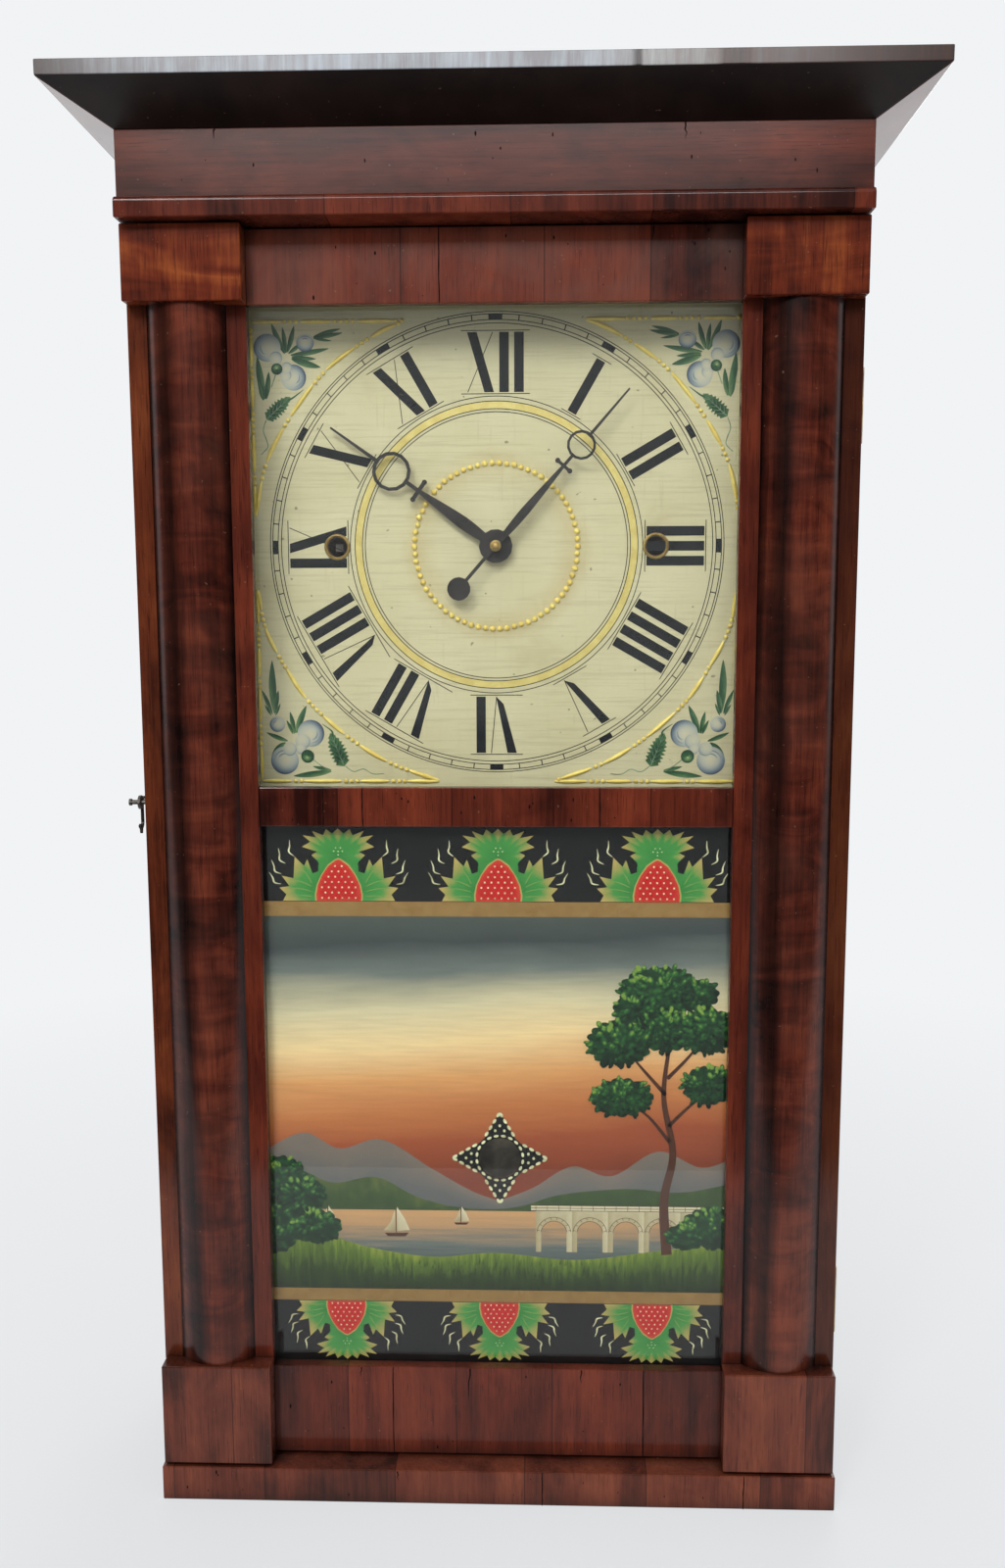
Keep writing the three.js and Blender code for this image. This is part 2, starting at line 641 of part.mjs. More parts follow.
// Windows between four arms.
function addWindows(shape, hubRadius, rimRadius, armHalf) {
  for (let i = 0; i < 4; i++) {
    const a0 = (i * Math.PI) / 2;
    const a1 = a0 + Math.PI / 2;
    const out = Math.asin(armHalf / rimRadius);
    const inn = Math.asin(armHalf / hubRadius);
    const window = new THREE.Path();
    window.absarc(0, 0, rimRadius, a0 + out, a1 - out, false);
    window.absarc(0, 0, hubRadius, a1 - inn, a0 + inn, true);
    shape.holes.push(window);
  }
}

// The phase that puts a gap of `gear` on a tooth of `mate`, along the line between their centres.
function meshPhase(gear, mate) {
  const line = Math.atan2(gear.z - mate.z, gear.x - mate.x);
  const offset = line - mate.phase;
  return line + Math.PI + (mate.teeth / gear.teeth) * offset + Math.PI / gear.teeth;
}

function gearPlate(gear, y0, y1) {
  return plate(toothedShape(gear), y0, y1).translate(gear.x, 0, gear.z);
}

// ---------------------------------------------------------------- the time train

const layerOne = frontPlateBack + 4;
const layerTwo = layerOne + 10;
const layerThree = layerTwo + 13;

// Each pair of wheels takes its module from the distance between its two arbors.
function mate(wheel, pinion) {
  const apart = Math.hypot(pinion.x - wheel.x, pinion.z - wheel.z);
  wheel.module = (2 * apart) / (wheel.teeth + pinion.teeth);
  pinion.module = wheel.module;
}

// The second wheel stands halfway between the winding square and the hands, a little below them.
const thirdAbove = Math.hypot(windingX / 2, SECOND_WHEEL_BELOW) - THIRD_WHEEL_NEARER;
const centreAt = { x: 0, z: dialZ };
const greatAt = { x: -windingX, z: dialZ };
const secondAt = { x: -windingX / 2, z: dialZ - SECOND_WHEEL_BELOW };
const thirdAt = { x: THIRD_WHEEL_ASIDE, z: dialZ + thirdAbove };
const escapeAt = { x: 0, z: dialZ + 2 * thirdAbove - ESCAPE_WHEEL_DROP };

const great = { ...greatAt, teeth: 50, phase: 0 };
const secondPinion = { ...secondAt, teeth: 10 };
const secondWheel = { ...secondAt, teeth: 40, phase: 0 };
const centrePinion = { ...centreAt, teeth: 20 };
const centreWheel = { ...centreAt, teeth: 60, phase: 0 };
const thirdPinion = { ...thirdAt, teeth: 8 };
const thirdWheel = { ...thirdAt, teeth: 56, phase: 0 };
const escapePinion = { ...escapeAt, teeth: 7 };
const escapeWheel = { ...escapeAt, teeth: 42, tip: 23.2, root: 20 };
mate(great, secondPinion);
mate(secondWheel, centrePinion);
mate(centreWheel, thirdPinion);
mate(thirdWheel, escapePinion);
secondPinion.phase = meshPhase(secondPinion, great);
centrePinion.phase = meshPhase(centrePinion, secondWheel);
thirdPinion.phase = meshPhase(thirdPinion, centreWheel);
escapePinion.phase = meshPhase(escapePinion, thirdWheel);

// Motion work in front of the front plate: 1 to 3, then 1 to 4, on one centre distance.
const motionAt = { x: MOTION_WHEEL_ASIDE, z: dialZ - MOTION_WHEEL_BELOW };
const cannon = { ...centreAt, teeth: 8, phase: 0 };
const minuteWheel = { ...motionAt, teeth: 24 };
const minutePinion = { ...motionAt, teeth: 8, phase: 0 };
const hourWheel = { ...centreAt, teeth: 32 };
mate(minuteWheel, cannon);
mate(hourWheel, minutePinion);
minuteWheel.phase = meshPhase(minuteWheel, cannon);
hourWheel.phase = meshPhase(hourWheel, minutePinion);

const motionBack = plateFront - 1.8;
const cannonFront = motionBack - 3;
const hourBack = cannonFront - 1.2;
const hourFront = hourBack - 3.2;
const hourPipe = { radius: 4.6, bore: 2.9 };
const handArbor = 1.9;

// An arbor with a pivot in each plate.
function arbor(gear, front = plateFront + 1, radius = ARBOR_RADIUS) {
  const shoulder = frontPlateBack + RUNNING_GAP;
  const rear = backPlateFront - RUNNING_GAP;
  const profile = [
    [0, front],
    [PIVOT_RADIUS, front],
    [PIVOT_RADIUS, shoulder],
    [radius, shoulder],
    [radius, rear],
    [PIVOT_RADIUS, rear],
    [PIVOT_RADIUS, backPlateBack - 1],
    [0, backPlateBack - 1],
  ];
  return turned(gear.x, gear.z, profile, 8);
}

function buildTimeTrain() {
  const wheelBack = layerOne + WHEEL_THICK;
  const greatPlate = gearPlate(great, layerOne, wheelBack);
  const greatBore = rod(great.x, great.z, WINDING_ARBOR + RUNNING_GAP, layerOne - 1, wheelBack + 1, 12);
  piece("time_great_wheel", cherry, cut(greatPlate, greatBore));

  const secondParts = [
    arbor(secondWheel),
    gearPlate(secondPinion, layerOne - 1, wheelBack + 1),
    gearPlate(secondWheel, layerTwo, layerTwo + 5),
  ];
  piece("second_wheel", cherry, join(...secondParts));

  const shoulder = motionBack + 0.8;
  const centreProfile = [
    [0, MINUTE_HAND.front - 2.2],
    [handArbor - 0.2, MINUTE_HAND.front - 2.2],
    [handArbor, MINUTE_HAND.front - 0.4],
    [handArbor, cannonFront],
    [ARBOR_RADIUS, cannonFront],
    [ARBOR_RADIUS, shoulder],
    [ARBOR_RADIUS, backPlateFront - RUNNING_GAP],
    [PIVOT_RADIUS, backPlateFront - RUNNING_GAP],
    [PIVOT_RADIUS, backPlateBack - 1],
    [0, backPlateBack - 1],
  ];
  const centreParts = [
    turned(0, dialZ, centreProfile, 12),
    gearPlate(cannon, cannonFront, motionBack),
    gearPlate(centrePinion, layerTwo, layerTwo + 5),
    gearPlate(centreWheel, layerThree, layerThree + 5),
  ];
  piece("centre_arbor", cherry, join(...centreParts));

  const thirdParts = [
    arbor(thirdWheel),
    gearPlate(thirdPinion, layerThree - 1, layerThree + 6),
    gearPlate(thirdWheel, layerOne, wheelBack),
  ];
  piece("third_wheel", cherry, join(...thirdParts));
}

function buildMotionWork() {
  const wheel = gearPlate(minuteWheel, cannonFront, motionBack);
  const pinion = gearPlate(minutePinion, hourFront, cannonFront + 1);
  const bore = rod(minuteWheel.x, minuteWheel.z, 2 + RUNNING_GAP, hourFront - 1, motionBack + 1);
  piece("minute_wheel", cherry, cut(join(wheel, pinion), bore));

  const pipeFront = HOUR_HAND.front + HOUR_HAND.thick + SEAT_GAP;
  const pipe = rod(0, dialZ, hourPipe.radius, pipeFront, hourBack, 16);
  const pipeBore = rod(0, dialZ, hourPipe.bore, pipeFront - 1, hourBack + 1, 16);
  piece("hour_wheel", cherry, cut(join(gearPlate(hourWheel, hourFront, hourBack), pipe), pipeBore));
}

// ---------------------------------------------------------------- escapement and pendulum

const vergeZ = escapeWheel.z + VERGE_ABOVE_ESCAPE;
const rodFront = dialBack + 2.5;
const rodBack = rodFront + ROD_WIDTH;
const crutchFront = rodBack + 1.5;
const bobZ = vergeZ - PENDULUM_LENGTH;
const suspensionZ = vergeZ + 8.5; // the post that holds the spring, just above the swing's centre

// Slanting saw teeth on a thin brass wheel.
function buildEscapeWheel() {
  const step = (2 * Math.PI) / escapeWheel.teeth;
  const points = [];
  for (let i = 0; i < escapeWheel.teeth; i++) {
    points.push(polar(escapeWheel.root, i * step));
    points.push(polar(escapeWheel.tip, i * step + 0.16 * step));
    points.push(polar(escapeWheel.root, i * step + 0.62 * step));
  }
  const shape = outline(points);
  addWindows(shape, 7, escapeWheel.root - 3, 1.6);
  const front = plateFront - 5.5;
  const wheel = plate(shape, front, front + 2.5, 2).translate(escapeWheel.x, 0, escapeWheel.z);
  const pinion = gearPlate(escapePinion, layerOne - 1, layerOne + WHEEL_THICK + 1);
  piece("escape_wheel", brass, join(wheel, pinion, arbor(escapeWheel, front - 0.6)));
}

// The strip of the verge arches over the wheel. Its pallets keep a running gap from the teeth.
function buildVerge() {
  const front = plateFront - 5.8;
  const back = front + 3.2;
  const inner = escapeWheel.tip + 2.9;
  const outer = inner + 3.6;
  const spread = THREE.MathUtils.degToRad(41);
  const strip = new THREE.Shape();
  strip.absarc(0, 0, outer, Math.PI / 2 - spread, Math.PI / 2 + spread, false);
  strip.absarc(0, 0, inner, Math.PI / 2 + spread, Math.PI / 2 - spread, true);
  const parts = [plate(strip, front, back, 6).translate(0, 0, escapeWheel.z)];
  for (const side of [-1, 1]) {
    const a0 = Math.PI / 2 + side * (spread - 0.1);
    const a1 = Math.PI / 2 + side * spread;
    const nib = [polar(inner + 0.5, a0), polar(inner - 1.1, a1), polar(inner + 0.5, a1)];
    parts.push(plate(outline(nib), front, back).translate(0, 0, escapeWheel.z));
  }
  parts.push(block(-2.6, 2.6, front, back, escapeWheel.z + outer - 1, vergeZ));
  parts.push(plate(disc(4.6, 0, vergeZ), front, back, 5));
  parts.push(rod(0, vergeZ, 1.6, crutchFront, frontPlateBack - 1));
  const crutchFoot = vergeZ - 64;
  parts.push(block(-1, 1, crutchFront, crutchFront + 2, crutchFoot, vergeZ));
  const forkIn = ROD_WIDTH / 2 + 0.7;
  const forkOut = forkIn + 1.5;
  const forkHead = crutchFoot + 3;
  parts.push(block(-forkOut, forkOut, crutchFront, crutchFront + 2, crutchFoot, forkHead));
  for (const side of [-1, 1]) {
    const x0 = Math.min(side * forkIn, side * forkOut);
    parts.push(block(x0, x0 + 1.5, rodFront - 1, crutchFront + 2, crutchFoot, forkHead));
  }
  piece("verge", iron, join(...parts));
}

function buildPendulum() {
  const half = ROD_WIDTH / 2;
  const loopFoot = dialZ - ROD_LOOP_HALF_HEIGHT;
  const loopHead = dialZ + ROD_LOOP_HALF_HEIGHT;
  const loopSide = ROD_LOOP_HALF_WIDTH + ROD_WIDTH;
  const bobFoot = bobZ - BOB_RADIUS;
  const nutHead = bobFoot - SEAT_GAP;
  const springFoot = vergeZ - 16;
  const springHead = suspensionZ - 0.5;
  const middleY = (rodFront + rodBack) / 2;
  const parts = [
    block(-half, half, rodFront, rodBack, loopHead, springFoot - 4),
    block(-loopSide, loopSide, rodFront, rodBack, loopHead, loopHead + ROD_WIDTH),
    block(-loopSide, -ROD_LOOP_HALF_WIDTH, rodFront, rodBack, loopFoot - ROD_WIDTH, loopHead + ROD_WIDTH),
    block(ROD_LOOP_HALF_WIDTH, loopSide, rodFront, rodBack, loopFoot - ROD_WIDTH, loopHead + ROD_WIDTH),
    block(-loopSide, loopSide, rodFront, rodBack, loopFoot - ROD_WIDTH, loopFoot),
    block(-half, half, rodFront, rodBack, nutHead - 9, loopFoot),
    block(-1.4, 1.4, rodFront - 0.6, rodBack + 0.6, springFoot - 5, springFoot + 1),
    block(-0.2, 0.2, middleY - 1.5, middleY + 1.5, springFoot, springHead),
    zCylinder(0, middleY, 4, nutHead - 4, nutHead, 12),
  ];
  piece("pendulum_rod", brass, join(...parts));

  const lens = [
    [0, middleY - BOB_THICK / 2],
    [BOB_RADIUS * 0.45, middleY - BOB_THICK * 0.46],
    [BOB_RADIUS * 0.8, middleY - BOB_THICK * 0.3],
    [BOB_RADIUS, middleY - 1],
    [BOB_RADIUS, middleY + 1],
    [BOB_RADIUS * 0.8, middleY + BOB_THICK * 0.3],
    [BOB_RADIUS * 0.45, middleY + BOB_THICK * 0.46],
    [0, middleY + BOB_THICK / 2],
  ];
  const slack = half + SEAT_GAP;
  const channel = block(-slack, slack, middleY - slack, middleY + slack, bobFoot - 1, bobZ + BOB_RADIUS + 1);
  piece("pendulum_bob", brass, cut(turned(0, bobZ, lens, 24), channel));
}

// ---------------------------------------------------------------- plates, drums, strike side

const LIFTING_PIN_INSET = 4.6; // inside the roots of the strike great wheel's teeth
const HAMMER_HEAD_RADIUS = 6;
const HAMMER_REST_GAP = 2.5;
const WINDING_ARBOR = 5;
const WINDING_PIVOT = 3.2;
const WINDING_SQUARE = 5;
const drumFront = layerThree - 3;
const drumBack = backPlateFront - 1.5;
const hammer = { x: windingX - 10.5, z: dialZ - 50, headX: windingX - 42.5, headZ: dialZ - 65 };

function buildPlates() {
  const half = windingX + PLATE_BESIDE_WINDING;
  const lowPillar = dialZ - tipRadius(great) - PILLAR_BELOW_WHEEL - PILLAR_RADIUS;
  const plateFoot = lowPillar - PILLAR_FROM_END;
  const plateHead = vergeZ + PLATE_ABOVE_VERGE;
  const front = rectangle(-half, half, plateFoot, plateHead);
  const back = rectangle(-chuteInnerX + SEAT_GAP, chuteInnerX - SEAT_GAP, plateFoot, plateHead);
  const small = PIVOT_RADIUS + RUNNING_GAP;
  for (const gear of [secondWheel, thirdWheel, escapeWheel, hammer]) {
    front.holes.push(hole(small, gear.x, gear.z));
    back.holes.push(hole(small, gear.x, gear.z));
  }
  front.holes.push(hole(ARBOR_RADIUS + RUNNING_GAP, 0, dialZ));
  back.holes.push(hole(small, 0, dialZ));
  front.holes.push(hole(1.6 + RUNNING_GAP, 0, vergeZ));
  for (const side of [-1, 1]) {
    front.holes.push(hole(WINDING_PIVOT + RUNNING_GAP, side * windingX, dialZ));
    back.holes.push(hole(WINDING_PIVOT + RUNNING_GAP, side * windingX, dialZ));
  }
  const stud = rod(minuteWheel.x, minuteWheel.z, 2, hourFront - 1, plateFront + 1);
  const postFront = rodFront - 1.5;
  const post = rod(0, suspensionZ, 3.2, postFront, plateFront + 1, 12);
  const slot = block(-0.9, 0.9, postFront - 1, rodBack + 1, suspensionZ - 4, suspensionZ + 0.8);
  const frontPlate = plate(front, plateFront, frontPlateBack, 4);
  piece("movement_front_plate", cherry, join(frontPlate, stud, cut(post, slot)));

  const pillars = [-1, 1].flatMap((side) =>
    [lowPillar, plateHead - PILLAR_FROM_END].map((z) =>
      rod(side * (half - PILLAR_INSET), z, PILLAR_RADIUS, frontPlateBack + SEAT_GAP, backPlateFront + 1),
    ),
  );
  piece("movement_back_plate", cherry, join(plate(back, backPlateFront, backPlateBack, 4), ...pillars));
}

// A winding arbor: square at the front, ratchet, and the drum that takes up the cord.
function drumParts(x) {
  const pivotFront = plateFront - 1.5;
  const profile = [
    [0, pivotFront],
    [WINDING_PIVOT, pivotFront],
    [WINDING_PIVOT, frontPlateBack + RUNNING_GAP],
    [WINDING_ARBOR, frontPlateBack + RUNNING_GAP],
    [WINDING_ARBOR, drumFront],
    [DRUM_RADIUS + 3.5, drumFront],
    [DRUM_RADIUS + 3.5, drumFront + 1.5],
    [DRUM_RADIUS, drumFront + 2.2],
    [DRUM_RADIUS, drumBack],
    [WINDING_PIVOT, drumBack],
    [WINDING_PIVOT, backPlateBack - 1],
    [0, backPlateBack - 1],
  ];
  const half = WINDING_SQUARE / 2;
  const squareFront = dialBack + 1.5;
  return [
    turned(x, dialZ, profile, 16),
    block(x - half, x + half, squareFront, plateFront - 0.5, dialZ - half, dialZ + half),
  ];
}

function ratchet(x) {
  const teeth = 10;
  const step = (2 * Math.PI) / teeth;
  const points = [];
  for (let i = 0; i < teeth; i++) {
    points.push(polar(12, i * step), polar(9.6, i * step + 0.15 * step));
  }
  const front = layerOne + WHEEL_THICK + RUNNING_GAP;
  return plate(outline(points), front, front + 2.4).translate(x, 0, dialZ);
}

function buildStrike() {
  piece("time_drum", cherry, join(...drumParts(-windingX), ratchet(-windingX)));

  // The strike side: the great wheel sits on its drum, with pins that lift the hammer's tail.
  const wheel = { ...great, x: windingX };
  const wheelBack = layerOne + WHEEL_THICK;
  const pins = [];
  for (let i = 0; i < 8; i++) {
    const [dx, dz] = polar(rootRadius(wheel) - LIFTING_PIN_INSET, (i * Math.PI) / 4);
    pins.push(rod(windingX + dx, dialZ + dz, 1.1, wheelBack - 1, wheelBack + 3, 6));
  }
  const strikeParts = [...drumParts(windingX), gearPlate(wheel, layerOne, wheelBack), ratchet(windingX)];
  piece("strike_drum", cherry, join(...strikeParts, ...pins));

  // Hammer: its tail stands just behind the pins, and an arm carries the head over the bell's rim.
  const { headX, headZ } = hammer;
  const headFront = bell.rimY - 10;
  const tailY = wheelBack + 3.5;
  const tail = limb(hammer.x, hammer.z, windingX + 7, dialZ - 31, 3);
  const arm = limb(hammer.x, hammer.z, headX, headZ, 2.4);
  const hammerParts = [
    arbor(hammer, plateFront + 1, 3.4),
    plate(tail, tailY, tailY + 3),
    plate(arm, headFront, headFront + 2.5),
    rod(headX, headZ, HAMMER_HEAD_RADIUS, headFront, bell.rimY - 0.6, 12),
  ];
  piece("strike_hammer", iron, join(...hammerParts));
}

// A straight flat limb between two points of the x-z plane.
function limb(x0, z0, x1, z1, width) {
  const length = Math.hypot(x1 - x0, z1 - z0);
  const nx = (-(z1 - z0) / length) * (width / 2);
  const nz = ((x1 - x0) / length) * (width / 2);
  return outline([[x0 - nx, z0 - nz], [x1 - nx, z1 - nz], [x1 + nx, z1 + nz], [x0 + nx, z0 + nz]]);
}

const bell = { x: hammer.headX, radius: 38, wall: 2.6, rimY: backPlateFront, depth: 18 };
bell.z = hammer.headZ - HAMMER_HEAD_RADIUS - HAMMER_REST_GAP - bell.radius;

// An iron bell on a post from the back board, its mouth to the back.
function buildBell() {
  const crown = bell.rimY - bell.depth;
  const r = bell.radius;
  const inside = r - bell.wall;
  const post = 3.5;
  const profile = [
    [0, crown],
    [r * 0.45, crown + 0.6],
    [r * 0.78, crown + 4],
    [r * 0.95, crown + 10],
    [r, bell.rimY],
    [inside, bell.rimY],
    [inside * 0.94, crown + 11],
    [inside * 0.76, crown + 6],
    [inside * 0.44, crown + 3.4],
    [post, crown + 3],
    [post, backFront],
    [0, backFront],
  ];
  piece("bell", cast, turned(bell.x, bell.z, profile, 20));
}

// ---------------------------------------------------------------- chutes, weights, cords, pulleys

function buildChutes() {
  for (const [side, name] of [[-1, "left"], [1, "right"]]) {
    const x0 = side < 0 ? -chuteX : chuteInnerX;
    const board = block(x0, x0 + CHUTE_BOARD_THICK, dialBack, backFront, BASE_HEIGHT, chuteHead);
    piece("chute_board_" + name, pine, board);
  }
}

function roundedRectangle(width, depth, radius, x, y) {
  const hx = width / 2 - radius;
  const hy = depth / 2 - radius;
  const shape = new THREE.Shape();
  shape.absarc(x + hx, y + hy, radius, 0, Math.PI / 2, false);
  shape.absarc(x - hx, y + hy, radius, Math.PI / 2, Math.PI, false);
  shape.absarc(x - hx, y - hy, radius, Math.PI, 1.5 * Math.PI, false);
  shape.absarc(x + hx, y - hy, radius, 1.5 * Math.PI, 2 * Math.PI, false);
  return shape;
}

function tube(curve, steps) {
  const section = disc(CORD_RADIUS);
  const options = { steps, bevelEnabled: false, extrudePath: curve, curveSegments: 3 };
  return new THREE.ExtrudeGeometry(section, options);
}

// The run of cord from the drum's outer side up to the pulley's inner side, then over its top.
function cordRun(side) {
  const drumY = (drumFront + drumBack) / 2 + 1;
  const foot = new THREE.Vector3(side * cordLine.foot.x, drumY, cordLine.foot.y);
  const top = new THREE.Vector3(side * cordLine.top.x, weightY, cordLine.top.y);
  const over = top.clone().add(top.clone().sub(foot).setLength(0.6));

  const a0 = Math.atan2(top.z - pulleyZ, top.x - side * pulleyX);
  const a1 = side < 0 ? Math.PI : 0;
  const points = [];
  for (let i = 0; i <= 8; i++) {
    const a = a0 + ((a1 - a0) * i) / 8;
    const x = side * pulleyX + cordOnPulley * Math.cos(a);
    points.push(new THREE.Vector3(x, weightY, pulleyZ + cordOnPulley * Math.sin(a)));
  }
  const arc = new THREE.CatmullRomCurve3(points);
  return join(tube(new THREE.LineCurve3(foot, over), 1), tube(arc, 7));
}

function buildWeights() {
  for (const [side, name] of [[-1, "time"], [1, "strike"]]) {
    const x = side * weightX;
    const head = WEIGHT_REST + WEIGHT_HEIGHT;
    const section = roundedRectangle(WEIGHT_WIDTH, WEIGHT_DEPTH, WEIGHT_CORNER, x, weightY);
    const body = upright(section, WEIGHT_REST, head, 3);
    const eye = zCylinder(x, weightY, 2.6, head - 2, weightEyeHead, 10);
    piece(name + "_weight", cast, join(body, eye));

    const dropFoot = weightEyeHead + SEAT_GAP;
    piece(name + "_cord_drop", cordage, zCylinder(x, weightY, CORD_RADIUS, dropFoot, pulleyZ - SEAT_GAP, 8));
    piece(name + "_cord_run", cordage, cordRun(side));

    const half = PULLEY_WIDTH / 2;
    const axle = 1.3;
    const profile = [
      [0, -half - 5],
      [axle, -half - 5],
      [axle, -half],
      [PULLEY_RADIUS, -half],
      [PULLEY_RADIUS, -1.9],
      [PULLEY_GROOVE, -1.3],
      [PULLEY_GROOVE, 1.3],
      [PULLEY_RADIUS, 1.9],
      [PULLEY_RADIUS, half],
      [axle, half],
      [axle, half + 5],
      [0, half + 5],
    ];
    const pulley = piece(name + "_pulley", cherry, turned(0, 0, profile, 14));
    pulley.position.set(side * pulleyX, weightY, pulleyZ);
  }
}

// ---------------------------------------------------------------- assembly

buildCase();
buildCornice();
buildDoor();
buildHinge("hinge_lower", doorFoot + HINGE_FROM_END);
buildHinge("hinge_upper", doorHead - HINGE_FROM_END);
buildLatch();
buildDial();
buildHand("hour_hand", HOUR_HAND, handArbor + 0.7);
buildHand("minute_hand", MINUTE_HAND, handArbor + SEAT_GAP);
buildTimeTrain();
buildMotionWork();
buildEscapeWheel();
buildVerge();
buildPendulum();
buildPlates();
buildStrike();
buildBell();
buildChutes();
buildWeights();

// The origin is on the ground, under the middle of the clock's overall box.
clock.position.y = -(corniceFront + caseBack) / 2;

export default clock;
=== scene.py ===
"""The looks of a shelf clock with half columns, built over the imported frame.

Shapes are given in millimetres in the frame's own axes: x right, y back, z up, the front facing -y.
Painted shapes are thin flats, each layer a little nearer the viewer than the one that it covers.
Colours are given as red, green and blue from 0 to 255.
"""

import json
import math
import random

import bmesh
import bpy
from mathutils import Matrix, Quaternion, Vector


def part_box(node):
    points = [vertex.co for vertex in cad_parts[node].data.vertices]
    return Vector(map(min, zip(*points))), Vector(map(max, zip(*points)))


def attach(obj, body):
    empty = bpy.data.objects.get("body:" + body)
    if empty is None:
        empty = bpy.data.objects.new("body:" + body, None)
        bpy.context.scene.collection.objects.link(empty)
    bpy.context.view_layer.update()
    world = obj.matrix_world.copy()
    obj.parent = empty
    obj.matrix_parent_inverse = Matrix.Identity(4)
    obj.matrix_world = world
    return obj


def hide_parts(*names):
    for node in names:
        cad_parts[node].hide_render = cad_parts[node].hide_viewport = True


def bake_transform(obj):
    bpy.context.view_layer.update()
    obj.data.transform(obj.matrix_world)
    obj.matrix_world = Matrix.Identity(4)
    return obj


MM = 0.001

# The camera, fitted to the corners of the case in a picture of 1026 x 1600 pixels.
IMAGE_HEIGHT = 1600
FOCAL_PIXELS = 1357.5
SENSOR = 36.0
CAMERA_AT = (28.7, -805.2, 540.2)
CAMERA_YAW = -1.81
CAMERA_PITCH = -7.322
CAMERA_ROLL = -0.157

# The dial. The radii are from its centre.
DIAL_X = 0.0
DIAL_Z = 579.3
CENTRE = (DIAL_X, DIAL_Z)
NUMERALS = ("XII", "I", "II", "III", "IIII", "V", "VI", "VII", "VIII", "IX", "X", "XI")
NUMERAL_IN = 88.9
NUMERAL_OUT = 122.9
BAR_WIDTH = 5.6
BAR_GAP = 3.1
WIDE_LETTER = 15.6  # X and V
HAIRLINE = 0.5
TRACK_LINES = (134.5, 133.1, 129.9, 127.9)
GILT_RING = (79.7, 83.7)
GILT_RING_LINES = (77.8, 79.5, 83.9, 86.7)
BEAD_RING = 48.4
BEAD_COUNT = 70
BORDER_X = 143.3  # the outer corners of the gilt borders, from the dial's centre
BORDER_TOP = 129.8
BORDER_FOOT = 140.2

# The painted tablet.
TABLET_X = 142.5
TABLET_FOOT = 75.0
TABLET_HEAD = 421.0
STRIPE_LOW = (117.8, 126.7)
STRIPE_HIGH = (361.0, 370.0)
EYE = (2.0, 211.0)  # the clear opening in front of the bob
EYE_RADIUS = 12.7
LAKE_SHORE = 176

PAINT_STEP = 0.05  # between one layer of paint and the next
SQUARE = ((-1, -1), (1, -1), (1, 1), (-1, 1))
DIAL = ("case", "dial_paint")
GLASS = ("door", "painted_glass")

# The woods, each dark, middle and light.
RED = ((46, 13, 7), (98, 38, 23), (136, 58, 34))
BROWN = ((54, 22, 13), (116, 54, 36), (152, 79, 52))
DEEP = ((36, 11, 6), (90, 36, 23), (132, 62, 40))
# Mahogany darkened with painted shade, for the underside of the cornice.
PAINTED_SHADE_WOOD = ((14, 8, 7), (24, 14, 12), (38, 23, 19))
ORANGE = ((56, 15, 6), (116, 44, 20), (162, 80, 36))
WARM = ((56, 20, 9), (112, 50, 24), (152, 80, 40))
PINE = ((122, 84, 52), (168, 128, 84), (200, 164, 118))
DUSTY = ((52, 34, 26), (84, 60, 46), (112, 88, 70))
CHERRY = ((112, 66, 38), (150, 96, 58), (178, 124, 80))
# Dirt in the joints between sheets, and painted shade in the hollows.
DIRT_AND_SHADE = (20, 11, 9)
BACKGROUND = (241, 243, 245)


def linear(colour):
    """A colour in Blender's own terms. One of four values is in them already."""
    if len(colour) == 4:
        return colour
    shares = [value / 255 for value in colour]
    return (*(v / 12.92 if v <= 0.04045 else ((v + 0.055) / 1.055) ** 2.4 for v in shares), 1.0)


# ---------------------------------------------------------------------------------------------
# Materials
# ---------------------------------------------------------------------------------------------


class Nodes:
    """A node tree, with short calls for what is added to it."""

    def __init__(self, tree):
        self.nodes = tree.nodes
        self.links = tree.links

    def feed(self, socket, value):
        if isinstance(value, bpy.types.NodeSocket):
            self.links.new(value, socket)
        else:
            socket.default_value = linear(value) if socket.type == "RGBA" else value

    def add(self, kind, settings=None, **inputs):
        node = self.nodes.new("ShaderNode" + kind)
        for key, value in (settings or {}).items():
            setattr(node, key, value)
        for key, value in inputs.items():
            self.feed(node.inputs[key.replace("_", " ")], value)
        return node

    def math(self, operation, *values):
        node = self.add("Math", {"operation": operation})
        for socket, value in zip(node.inputs, values):
            self.feed(socket, value)
        return node.outputs[0]

    def mix_shaders(self, share, first, second, output):
        """first, and second by share, to an output node."""
        mixed = self.add("MixShader", Fac=share)
        self.links.new(first.outputs[0], mixed.inputs[1])
        self.links.new(second.outputs[0], mixed.inputs[2])
        self.links.new(mixed.outputs[0], output.inputs["Surface"])


